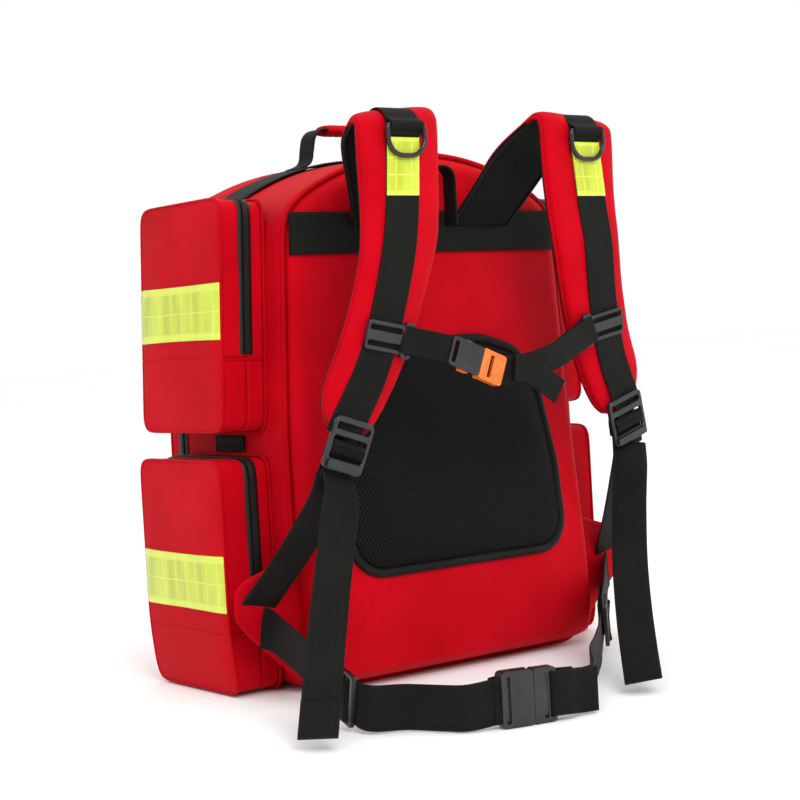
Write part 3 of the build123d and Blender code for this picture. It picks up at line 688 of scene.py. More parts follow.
def front_shell(name, start):
    """The front of the pack from a depth forward: rim, rounded edge and padded face."""
    edge = 7 * MM
    turn = np.linspace(0, math.pi / 2, 6)
    rim = list(np.linspace(start, FRONT - edge, 6))
    rows = [LOOP] * len(rim) + [LOOP - LOOP_OUT * edge * (1 - math.cos(a)) for a in turn[1:]]
    ys = rim + [FRONT - edge + edge * math.sin(a) for a in turn[1:]]
    centre = np.array([0, 0.25])
    inner, _ = rings_to_centre(rows[-1], LOOP_OUT, [2 * MM, 5 * MM], np.linspace(0.97, 0.02, 32), centre)
    points = [upright(r, y) for r, y in zip(rows, ys)]
    for ring in inner:
        flat = np.stack([ring[:, 0], ring[:, 1], np.full(len(ring), 9.0)], axis=1)
        x, z = ring[:, 0], ring[:, 1]
        near = [np.clip(e, 0, 1) / (22 * MM) for e in (HALF_W - np.abs(x), z, crown(x) - z)]
        quiet = np.prod([1 - np.exp(-e) for e in near], axis=0)
        bulge = 2.5 * MM * quiet + wobble(flat, 0.1) * 1.4 * MM * quiet
        points.append(upright(ring, FRONT + bulge))
    uvs = flat_uv(np.array(points), (1, 0.6, 0), (0, 0.8, 1))
    return facing(grid_object(name, points, uvs, wrap=True), (0, 0, 0.25))


base_front = cut(front_shell("base_front", COVER - 2 * MM), (0, 0, FOLD), (0, 0, 1), True)
link(thick(join("body", [body_wall, base_front]), 2.6 * MM, True), "pack", "red_fabric", RED,
     ("main_shell", "frame_sheet"), (LINING,))
cover = cut(front_shell("cover", COVER + 0.2 * MM), (0, 0, FOLD + 0.8 * MM), (0, 0, 1), False)
link(thick(cover, 2.6 * MM, True), "main_cover", "red_fabric", RED, ("main_cover",), (LINING,))


def along_loop(loop, normals, lowest):
    """The part of a closed outline above a height, as an open line with its normals."""
    start = int(np.argmin(loop[:, 1]))
    loop, normals = np.roll(loop, -start, 0), np.roll(normals, -start, 0)
    keep = loop[:, 1] > lowest
    return loop[keep], normals[keep]


def rim_strip(name, line, normals, near, far, proud, place):
    """A flat tape along a line of the outline, between two depths; place turns (flat point, depth) to 3-D."""
    lift = [0.0, proud, proud, proud, 0.0]
    at = [near, near + 0.4 * MM, (near + far) / 2, far - 0.4 * MM, far]
    points = [place(line + normals * (h - 0.2 * MM), np.full(len(line), d)) for h, d in zip(lift, at)]
    uvs = np.zeros((5, len(line), 2))
    run = np.concatenate([[0], np.cumsum(np.linalg.norm(np.diff(line, axis=0), axis=1))])
    uvs[..., 0] = run[None]
    uvs[..., 1] = np.array(at)[:, None] - near
    return grid_object(name, np.array(points), uvs)


def zip_parts(line, normals, middle, half, place, proud=1.0 * MM):
    """Both tapes of a zip with their halves of the coil: (first side, second side)."""
    sides = []
    for near, far, coil in ((middle - half, middle - 0.5 * MM, middle - 0.9 * MM),
                            (middle + 0.5 * MM, middle + half, middle + 0.9 * MM)):
        strip = facing(rim_strip("strip", line, normals, near, far, proud, place), (0, 0, 0.2))
        run = place(line + normals * (proud + 0.3 * MM), np.full(len(line), coil))
        sides.append((strip, tube("coil", smooth_path(run, 0.9 * MM), 1.0 * MM, 6)))
    return [join("zip", s) for s in sides]


line, normals = along_loop(LOOP, LOOP_OUT, FOLD + 2 * MM)
middle = COVER - 0.2 * MM
pack_zip, cover_zip = zip_parts(line, normals, middle, 8.5 * MM, upright)
pack_zip.name, cover_zip.name = "main_zip_body_side", "main_zip_cover_side"
link(pack_zip, "pack", "zip_tape", ZIP, ("main_zip",))
link(cover_zip, "main_cover", "zip_tape", ZIP)
out3 = np.stack([normals[:, 0], np.zeros(len(normals)), normals[:, 1]], axis=1)
for name, body, depth in (("main_seam_body", "pack", middle - 17.5 * MM),
                          ("main_seam_cover", "main_cover", middle + 13 * MM)):
    rows = [(upright(line + normals * 0.9 * MM, depth), out3)]
    link(stitches(name, rows), body, "red_fabric", RED_THREAD)

# the rain flap that covers the zip over the crown
high, high_out = along_loop(LOOP, LOOP_OUT, 330 * MM)
flap = [(middle - 15 * MM, 0.4), (middle - 13 * MM, 1.6), (middle - 6 * MM, 2.3), (middle, 3.0),
        (middle + 7 * MM, 3.0),
        (middle + 11 * MM, 2.6), (middle + 11.4 * MM, 1.8), (middle + 6 * MM, 2.2)]
points = np.array([upright(high + high_out * h * MM, y) for y, h in flap])
link(facing(grid_object("zip_rain_flap", points), (0, 0, 0.2)), "pack", "red_fabric", RED)
piping = upright(LOOP - LOOP_OUT * 1.6 * MM, BACK - 1.2 * MM)
link(tube("back_piping_cord", piping, 2.3 * MM, 10, True), "pack", "red_fabric", RED_TRIM,
     ("back_piping",))
front_cord = upright(LOOP - LOOP_OUT * 1.2 * MM, FRONT - 3 * MM)
cord = tube("front_cord", front_cord, 1.9 * MM, 8, True)
link(cut(copy_of(cord, "front_cord_cover"), (0, 0, FOLD + 1 * MM), (0, 0, 1), False), "main_cover",
     "red_fabric", RED_TRIM)
link(cut(cord, (0, 0, FOLD), (0, 0, 1), True), "pack", "red_fabric", RED_TRIM)

# ---------------------------------------------------------------- back panel and lumbar pad
turn = np.linspace(0, math.pi / 2, 8)
insets = [5 * MM + 15 * MM * (1 - math.cos(a)) for a in turn] + [22 * MM]
centre = np.array([0, 0.245])
rings, _ = rings_to_centre(LOOP, LOOP_OUT, insets, np.linspace(0.975, 0.02, 48), centre)
points = []
for i, ring in enumerate(rings):
    gap = np.full(len(ring), insets[i] - 5 * MM) if i < len(insets) else None
    points.append(BACK - panel_depth(ring[:, 0], ring[:, 1], gap))
points = np.array(points)
points[0] = BACK + 1 * MM
panel = stood("padded_back", rings, points, (0, 0, 0.25))
link(panel, "pack", "red_fabric", RED, ("back_panel", "foam_cores"))


def on_panel(flat, rise):
    """3-D points that stand a distance proud of the back panel."""
    return upright(flat, BACK - panel_depth(flat[..., 0], flat[..., 1]) - rise)


half = mm((0, 100), (134, 100), (134, 190), (123, 262), (96, 306), (50, 320))
shield = half + [(-x, z) for x, z in half[::-1]]
shield = fillet_path(shield, [r * MM for r in (38, 90, 60, 36, 60, 60, 36, 60, 90, 38)], 3 * MM)
LUMBAR = smooth_loop(shield[:-1], 260, 3 * MM)
LUMBAR_OUT = outline_normals(LUMBAR)
profile = [(0, -1.5), (0.2, 1.4), (1.2, 3.6), (3.0, 4.8), (5.2, 5.0), (7.2, 4.2), (8.4, 2.6), (9.0, 0.5)]
binding = np.array([on_panel(LUMBAR - LUMBAR_OUT * e * MM, h * MM) for e, h in profile])
rim = facing(grid_object("lumbar_edge_binding", binding, wrap=True), (0, 0, 0.2))
link(rim, "pack", "black_webbing", BLACK_TRIM, ("lumbar_binding",))
insets = [e * MM for e in (8.2, 9.0, 11.0, 14.0, 18.0, 24.0, 31.0)]
rings, apart = rings_to_centre(LUMBAR, LUMBAR_OUT, insets, np.linspace(0.93, 0.02, 30),
                               np.array([0, 0.2]))
dome = 3.0 * MM + 6.0 * MM * (1 - np.exp(-np.clip(apart - 8.5 * MM, 0, 1) / (10 * MM)))
dome[0] = 1.0 * MM
flat = np.concatenate([rings, np.full(rings.shape[:2] + (1,), 5.5)], axis=2)
points = on_panel(rings, dome + wobble(flat, 0.05) * 0.9 * MM)
pad = stood("lumbar_mesh", rings, points[..., 1], (0, 0, 0.2))
link(pad, "pack", "black_mesh", BLACK_MESH, ("lumbar_pad",))
rows = [(on_panel(LUMBAR - LUMBAR_OUT * 7.4 * MM, 4.3 * MM), (0, -1, 0))]
link(stitches("lumbar_stitching", rows), "pack", "black_webbing", BLACK_THREAD)

# yoke band across the shoulders and the haul loop that stands out of it
xs = np.linspace(-1, 1, 90)
levels = np.linspace(400, 439, 14) * MM
grid = np.array([[(x * (half_width(z) - 6 * MM), z) for x in xs] for z in levels])
band = on_panel(grid, 1.6 * MM + wobble(np.concatenate([grid, grid[..., :1] * 0], axis=2), 0.04,
                                        2.0) * 0.4 * MM)
uvs = np.stack([np.broadcast_to((levels - levels[0])[:, None], band.shape[:2]), grid[..., 0]], axis=2)
band = facing(grid_object("yoke_band", band, uvs), (0, 0, 0.4))
band = applied(band, ("SOLIDIFY", {"thickness": WEB, "offset": 0.2}))
loop_corners = mm((-15.5, 0, 424), (-15.5, 0, 480), (15.5, 0, 480), (15.5, 0, 424))
loop_path = fillet_path(loop_corners, [12.5 * MM, 12.5 * MM], 2 * MM)
loop_path[:, 1] = BACK - 25 * MM
haul = ribbon("haul_loop", loop_path, (0, 1, 0), 18 * MM, WEB)
link(join("yoke", [band, haul]), "pack", "black_webbing", BELT_BLACK, ("yoke_webbing",))
rows = []
for z in (402.5, 436.5):
    rows.append((on_panel(np.stack([grid[0, :, 0], np.full(90, z * MM)], axis=1), 3.0 * MM), (0, -1, 0)))
link(stitches("yoke_stitching", rows), "pack", "black_webbing", BLACK_THREAD)

# ---------------------------------------------------------------- handle, crown band and side tabs
HANDLE_Y = (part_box("handle_web")[0].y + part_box("handle_web")[1].y) / 2
HANDLE_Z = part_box("handle_web")[1].z - 1 * MM
xs = np.linspace(-150, 150, 100) * MM
crown_path = np.stack([xs, np.full(100, HANDLE_Y - 2 * MM), crown(xs) + 1.8 * MM], axis=1)
crown_band = ribbon("crown_band", crown_path, (0, 1, 0), 50 * MM, WEB)
tabs = []
for side in SIDES.values():
    path = [(side * (HALF_W + 1.2 * MM), y * MM, 229 * MM) for y in np.linspace(-34.5, 14.5, 16)]
    tabs.append(ribbon("tab", path, (0, 0, 1), 15 * MM, WEB))
link(join("crown_and_tabs", [crown_band, *tabs]), "pack", "black_webbing", SMALL_BLACK,
     ("gusset_webbing",))
ARCH_TOP = HANDLE_Z / MM
arch_corners = mm((-46.5, 0, 510), (-42, 0, ARCH_TOP), (42, 0, ARCH_TOP), (46.5, 0, 510))
arch = fillet_path(arch_corners, [15 * MM, 15 * MM], 2 * MM)
arch[:, 1] = HANDLE_Y
handle_strap = ribbon("handle_strap", arch, (0, 1, 0), 24 * MM, WEB + 0.6 * MM)
link(handle_strap, "handle", "black_webbing", SMALL_BLACK, ("handle_web",))
for name, side in SIDES.items():
    low = [(side * x * MM, 0, crown(x * MM) + rise * MM) for x, rise in ((66, 2.8), (56, 3.6), (50, 5.5))]
    foot = smooth_path([*low, *mm((side * 47.5, 0, 503), (side * 46.3, 0, 512))], 1.5 * MM, 2 * MM)
    foot[:, 1] = HANDLE_Y
    leg = ribbon(f"handle_leg_{name}", foot, (0, 1, 0), 24 * MM, WEB)
    bpy.context.scene.collection.objects.link(leg)
    leg.data.materials.append(SMALL_BLACK)
    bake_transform(leg)
xs = np.linspace(-27, 27, 60)
angle = np.linspace(0, 2 * math.pi, 28, endpoint=False)
grip = []
for x in xs:
    ends = math.sqrt(max(0.0, 1 - (abs(x) / 27.3) ** 12))
    wave = 1 + 0.03 * math.sin(x * 0.9)
    deep = 13.6 * MM * (0.7 + 0.3 * ends)
    tall = 5.4 * MM * (0.5 + 0.5 * ends) * wave
    grip.append([(x * MM, HANDLE_Y + deep * math.copysign(abs(math.cos(a)) ** 0.7, math.cos(a)),
                  HANDLE_Z + tall * math.sin(a)) for a in angle])
grip = np.array(grip)
hold = facing(grid_object("handle_cover", grip, wrap=True), (0, HANDLE_Y, HANDLE_Z))
cap_ends(hold, 28, 60)
link(hold, "handle", "red_fabric", RED_TRIM, ("handle_grip",))
rows = []
for k in (-1, 1):
    seam = upright(crown_path[:, ::2], HANDLE_Y + (k * 22.5 - 2) * MM) + [0, 0, 1.1 * MM]
    rows.append((seam, (0, 0, 1)))
link(stitches("crown_band_stitching", rows), "pack", "black_webbing", BLACK_THREAD)

# ---------------------------------------------------------------- pockets
def round_box(width, height, soften, count=240):
    half = width / 2
    return smooth_loop([(0, 0), (half, 0), (half, height), (-half, height), (-half, 0)], count, soften)


class Pocket:
    """A box pocket with a zipped lid, in the plane (origin, along, up, out) of the wall it is sewn to."""

    def __init__(self, name, body, origin, along, up, out, width, height, depth, fold, tuck, seed):
        self.name, self.body = name, body
        self.origin, self.along, self.up, self.out = (np.asarray(v, float) for v in (origin, along, up,
                                                                                     out))
        self.width, self.height, self.depth, self.fold = width, height, depth, fold
        self.tuck, self.seed = tuck, seed
        self.loop = round_box(width, height, 10 * MM)
        self.normals = outline_normals(self.loop)
        self.mid = 20.5 * MM

    def place(self, flat, depth):
        return (self.origin + flat[..., :1] * self.along + flat[..., 1:2] * self.up
                + np.asarray(depth)[..., None] * self.out)

    def centre(self):
        return self.origin + self.up * self.height / 2 + self.out * self.depth / 2

    def face(self, flat):
        """Height of the outer face over a flat point."""
        a, b = flat[..., 0], flat[..., 1]
        near = [np.clip(e, 0, 1) / (14 * MM) for e in (self.width / 2 - np.abs(a), b, self.height - b)]
        quiet = np.prod([1 - np.exp(-e) for e in near], axis=0)
        rise = 3.6 * MM * quiet
        spots = np.stack([a, b, np.full_like(a, self.seed)], axis=-1)
        soft = (wobble(spots, 0.075) * 1.5 * MM + wobble(spots, 0.024, 3.0) * 0.35 * MM) * quiet
        low = self.tuck * np.clip(1 - b / (85 * MM), 0, 1) ** 2
        return self.depth - 1.2 * MM + rise + soft - low

    def wall(self, near, far):
        """Rows of the gusset between two depths; far=None runs on to the outer face and closes it."""
        reach = self.depth - 2.2 * MM if far is None else far
        count = max(3, int((reach - near) / (3 * MM)))
        rows = []
        low = self.tuck * np.clip(1 - self.loop[:, 1] / (85 * MM), 0, 1) ** 2
        for d in np.linspace(near, reach, count):
            spots = self.place(self.loop, np.full(len(self.loop), d))
            soft = (wobble(spots, 0.045, self.seed) * 1.5 + wobble(spots, 0.014, self.seed) * 0.35) * MM
            calm = 8 * MM
            soft = soft * min(1.0, abs(d - self.mid) / calm, (self.depth - d) / calm, d / calm + 0.1)
            back = low * np.clip((d - 0.5 * self.depth) / (0.5 * self.depth), 0, 1)
            rows.append(self.place(self.loop + self.normals * (soft * 0.8)[:, None], d - back))
        if far is None:
            insets = [0.5 * MM, 1.6 * MM, 3.2 * MM, 5.2 * MM, 7.5 * MM]
            middle = np.array([0, self.height / 2])
            rings, _ = rings_to_centre(self.loop, self.normals, insets, np.linspace(0.95, 0.03, 24),
                                       middle)
            for i, ring in enumerate(rings):
                heights = self.face(ring)
                if i == 0:
                    heights = heights - 0.9 * MM
                rows.append(self.place(ring, heights))
        return np.array(rows)

    def surface(self, name, near, far):
        points = self.wall(near, far)
        uvs = flat_uv(points, self.along + self.out * 0.9, self.up + self.out * 0.25)
        obj = grid_object(name, points, uvs, wrap=True)
        return facing(obj, self.centre())

    def build(self, lid_body, tray_node, lid_node):
        fold_at = self.origin + self.up * self.fold
        gap = self.up * 0.12 * MM
        tray = self.surface("tray", 0.4 * MM, self.mid - 0.3 * MM)
        foot = cut(self.surface("foot", self.mid - 0.3 * MM, None), fold_at, self.up, True)
        link(thick(join(f"{self.name}_tray", [tray, foot]), 2.2 * MM, True), self.body, "red_fabric", RED,
             (tray_node,), (LINING,))
        lid = cut(self.surface(f"{self.name}_cover", self.mid + 0.3 * MM, None), fold_at + gap, self.up,
                  False)
        link(thick(lid, 2.2 * MM, True), lid_body, "red_fabric", RED, (lid_node,), (LINING,))
        line, normals = along_loop(self.loop, self.normals, self.fold + 1.5 * MM)
        halves = zip_parts(line, normals, self.mid, 6.8 * MM, self.place)
        out = normals[:, :1] * self.along + normals[:, 1:] * self.up
        for part, body, label, shift in zip(halves, (self.body, lid_body), ("tray", "lid"),
                                            (-8.6 * MM, 8.6 * MM)):
            part.name = f"{self.name}_zip_{label}"
            facing(part, self.centre())
            link(part, body, "zip_tape", ZIP)
            rows = [(self.place(line + normals * 0.9 * MM, np.full(len(line), self.mid + shift)), out)]
            link(stitches(f"{self.name}_seam_{label}", rows), body, "red_fabric", RED_THREAD)
        # the piped edge of the outer face, and the stitched flange where the gusset meets the wall
        low = self.tuck * np.clip(1 - self.loop[:, 1] / (85 * MM), 0, 1) ** 2
        edge = self.place(self.loop - self.normals * 0.3 * MM, self.depth - 2.0 * MM - low)
        piping = tube("piping", edge, 1.7 * MM, 8, True)
        upper = cut(copy_of(piping, f"{self.name}_piping_lid"), fold_at + gap, self.up, False)
        link(upper, lid_body, "red_fabric", RED_TRIM)
        flange = self.place(self.loop + self.normals * 1.6 * MM, np.full(len(self.loop), 1.4 * MM))
        flange = tube("flange", flange, 1.5 * MM, 6, True)
        lower = cut(piping, fold_at, self.up, True)
        link(join(f"{self.name}_piping_tray", [lower, flange]), self.body, "red_fabric", RED_TRIM)
        # folded seam across the gusset where the zip ends
        ends = [line[0], line[-1]]
        for k, (end, nrm) in enumerate(zip(ends, (normals[0], normals[-1]))):
            depths = np.linspace(2 * MM, self.depth - 3 * MM, 20)
            flat = np.repeat((end + nrm * 0.5 * MM)[None], 20, axis=0)
            flat[:, 1] = self.fold - 1.4 * MM
            welt = tube(f"{self.name}_welt_{k}", self.place(flat, depths), 1.0 * MM, 6)
            link(welt, self.body, "red_fabric", RED_TRIM)

    def tape(self, body, low, high, node):
        """Reflective tape across the face: two rows of embossed blocks inside a plain border."""
        across = np.linspace(-self.width / 2 + 0.5 * MM, self.width / 2 - 0.5 * MM, 150)
        up = np.linspace(0, 1, 56)
        a = np.broadcast_to(across[None], (56, 150)).copy()
        bow = 1.4 * MM * np.cos(across / self.width * math.pi) - 0.7 * MM
        b = low + (high - low) * up[:, None] + bow[None] * (1 - 2 * up[:, None]) * 0.5
        flat = np.stack([a, b], axis=2)
        along = (a + self.width / 2) / (self.width / 8) % 1.0
        over = up[:, None] * (high - low)
        line_a = np.minimum(along, 1 - along) * self.width / 8
        line_b = np.minimum(np.minimum(np.abs(over - 6.5 * MM), np.abs(over - (high - low) / 2)),
                            np.abs(over - (high - low) + 6.5 * MM))
        border = (over < 6.5 * MM) | (over > (high - low) - 6.5 * MM)
        groove = np.where(border, line_b, np.minimum(line_a, line_b))
        emboss = np.clip(groove / (1.1 * MM), 0, 1) * 0.55 * MM + 0.9 * MM
        emboss[[0, -1]] = -0.4 * MM
        edge = np.minimum(self.width / 2 - np.abs(a), 1)
        wrap = np.clip(1 - edge / (2.5 * MM), 0, 1) ** 2 * 1.5 * MM
        points = self.place(flat, self.face(flat) + emboss - wrap)
        uvs = np.stack([a + self.width / 2, np.broadcast_to(over, a.shape)], axis=2)
        obj = facing(grid_object(node + "_embossed", points, uvs), self.centre())
        link(obj, body, "reflective_tape", TAPE, (node,))
        rows = [(self.place(np.stack([across, np.full(150, y)], axis=1),
                            self.face(np.stack([across, np.full(150, y)], axis=1)) + 1.5 * MM), self.out)
                for y in (low + 2.6 * MM, high - 2.6 * MM)]
        link(stitches(f"{node}_stitching", rows, 2.6 * MM, 1.4 * MM, 0.3 * MM), body, "reflective_tape",
             TAPE)


LEVELS = {"upper": (241.0, 213.0, 48.0, 68.0, 2.95, 84.0, 136.0, 0.0),
          "lower": (3.0, 214.0, 54.5, 57.0, 0.0, 76.0, 128.0, 7.5)}
for level, (base, height, depth, fold, lean, low, high, tuck) in LEVELS.items():
    for name, side in SIDES.items():
        tilt = math.radians(lean)
        foot = HALF_W - max(0.0, base * MM - LEAN_Z) * math.sin(tilt)
        out = (side * math.cos(tilt), 0, math.sin(tilt))
        up = (-side * math.sin(tilt), 0, math.cos(tilt))
        pocket = Pocket(f"{level}_{name}", "pack", (side * foot, 0, base * MM), (0, side, 0), up, out,
                        144 * MM, height * MM, depth * MM, fold * MM, tuck * MM, base * 0.37 + side)
        pocket.build(f"{level}_{name}_lid", f"{level}_{name}_pocket", f"{level}_{name}_lid")
        pocket.tape(f"{level}_{name}_lid", low * MM, high * MM, f"{level}_{name}_tape")
pocket = Pocket("front", "main_cover", (0, FRONT + 1 * MM, 112 * MM), (-1, 0, 0), (0, 0, 1), (0, 1, 0),
                220 * MM, 190 * MM, 31 * MM, 24 * MM, 0.0, 5.3)
pocket.build("front_lid", "front_pocket", "front_lid")
for node in ("pocket_zips", "front_zip"):
    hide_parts(node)

# ---------------------------------------------------------------- divider with elastic loops
box_loop = round_box(300 * MM, 390 * MM, 20 * MM) + [0, 40 * MM]
box_out = outline_normals(box_loop)
rings, apart = rings_to_centre(box_loop, box_out, [0, 1.5 * MM, 4 * MM, 8 * MM],
                               np.linspace(0.95, 0.02, 24),
                               np.array([0, 0.235]))
middle = BACK + 11 * MM
rise = 4.5 * MM * np.sqrt(np.clip(apart / (8 * MM), 0, 1))
front_side = stood("divider_pad", rings, middle + rise, (0, BACK, 0.235))
rear_side = stood("rear", rings, middle - rise * 0.5, (0, 0, 0.235))
slab = join("divider_pad", [front_side, rear_side])
link(slab, "pack", "grey_lining", LINING, ("divider",))
elastics = []
for z in (100, 190, 280, 370):
    xs = np.linspace(-145, 145, 150)
    bow = BACK + 16.4 * MM + 6 * MM * np.abs(np.sin(xs / 290 * math.pi * 5 + math.pi / 2))
    path = np.stack([xs * MM, bow, np.full(150, z * MM)], axis=1)
    elastics.append(ribbon("elastic", path, (0, 0, 1), 38 * MM, 1.4 * MM))
link(join("divider_elastics", elastics), "pack", "black_webbing", BELT_BLACK)

# ---------------------------------------------------------------- shoulder straps
T_PAD = 14 * MM
SIDE_LINE = fillet_path(mm((-187, 228), (-215.5, 400), (-213.2, 532), (-151, 498), (-116, 438),
                           (-110, 428)),
                        [170 * MM, 16 * MM, 60 * MM, 20 * MM], 1.5 * MM)
RUN = np.concatenate([[0], np.cumsum(np.linalg.norm(np.diff(SIDE_LINE, axis=0), axis=1))])
SIDE_T = unit(np.gradient(SIDE_LINE, axis=0))
SIDE_N = np.stack([-SIDE_T[:, 1], SIDE_T[:, 0]], axis=1)  # away from the wearer's chest
CREST = int(np.argmax(SIDE_LINE[:, 1]))
IN_LINE = np.array(mm((148, 233), (132, 241), (118, 257), (104, 280), (91, 315), (80, 355), (70, 394),
                      (65, 450), (63, 520)))
OUT_LINE = np.array(mm((181, 244), (189.5, 257), (190.5, 276), (182, 294), (172, 315), (161, 350),
                       (152, 400), (150, 450), (151, 520)))


def strap_at(run):
    """Point (y, z) and outward normal of the strap's face at a distance from its tip."""
    point = np.stack([np.interp(run, RUN, SIDE_LINE[:, k]) for k in range(2)], axis=-1)
    normal = np.stack([np.interp(run, RUN, SIDE_N[:, k]) for k in range(2)], axis=-1)
    return point, unit(normal)


def run_of(z):
    """Distance from the tip on the front of the strap at a height."""
    return np.interp(z, SIDE_LINE[:CREST, 1], RUN[:CREST])


stations = []
inner = smooth_path(IN_LINE, 2 * MM, 5 * MM)
outer = smooth_path(OUT_LINE, 2 * MM, 5 * MM)
for k in np.linspace(0, 1, 110):
    a = np.array([np.interp(k, np.linspace(0, 1, len(inner)), inner[:, i]) for i in range(2)])
    b = np.array([np.interp(k, np.linspace(0, 1, len(outer)), outer[:, i]) for i in range(2)])
    if a[1] < 0.49:
        stations.append((a[0], run_of(a[1]), b[0], run_of(min(b[1], 0.49))))
start = stations[-1][1]
for run in np.linspace(start + 3 * MM, RUN[-1], 60):
    z = strap_at(run)[0][1]
    if run < RUN[CREST]:
        x_in, x_out = 63 * MM, 151 * MM
    else:
        x_in = np.interp(z, [0.425, 0.520], [19 * MM, 63 * MM])
        x_out = np.interp(z, [0.425, 0.515], [92 * MM, 151 * MM])
    stations.append((x_in, run, x_out, run))
stations = np.array(stations)
lead = np.clip((stations[:, 1] + stations[:, 3]) / 2 / (9 * MM), 0, 1)
for column in (0, 2):
    soft = smooth_path(np.stack([stations[:, column], np.arange(len(stations)) * 2 * MM], axis=1), 2 * MM,
                       10 * MM)
    stations[:, column] = np.interp(np.linspace(0, 1, len(stations)), np.linspace(0, 1, len(soft)),
                                    soft[:, 0])
ANGLES = np.linspace(0, 2 * math.pi, 40, endpoint=False)


def strap_points(side, section):
    """Grid of points on the strap; section is a list of (across -1..1, height over the face)."""
    rows = []
    for (xa, ra, xb, rb), thick_here in zip(stations, np.sqrt(np.clip(lead, 0.08, 1))):
        across = np.array([s[0] for s in section])
        height = np.array([s[1] for s in section])
        k = (across + 1) / 2
        run = ra + (rb - ra) * k
        point, normal = strap_at(run)
        thin = np.interp(run, [RUN[CREST] - 60 * MM, RUN[CREST], RUN[CREST] + 30 * MM], [1.0, 0.72, 0.55])
        height = -T_PAD / 2 + (height + T_PAD / 2) * thick_here
        height = height * thin
        spots = point + normal * height[:, None]
        over = np.exp(-((run - RUN[CREST]) / (34 * MM)) ** 2)
        spots[:, 1] += over * (4.5 * MM - 9 * MM * k)
        rows.append(np.stack([side * (xa + (xb - xa) * k), spots[:, 0], spots[:, 1]], axis=1))
    return np.array(rows)


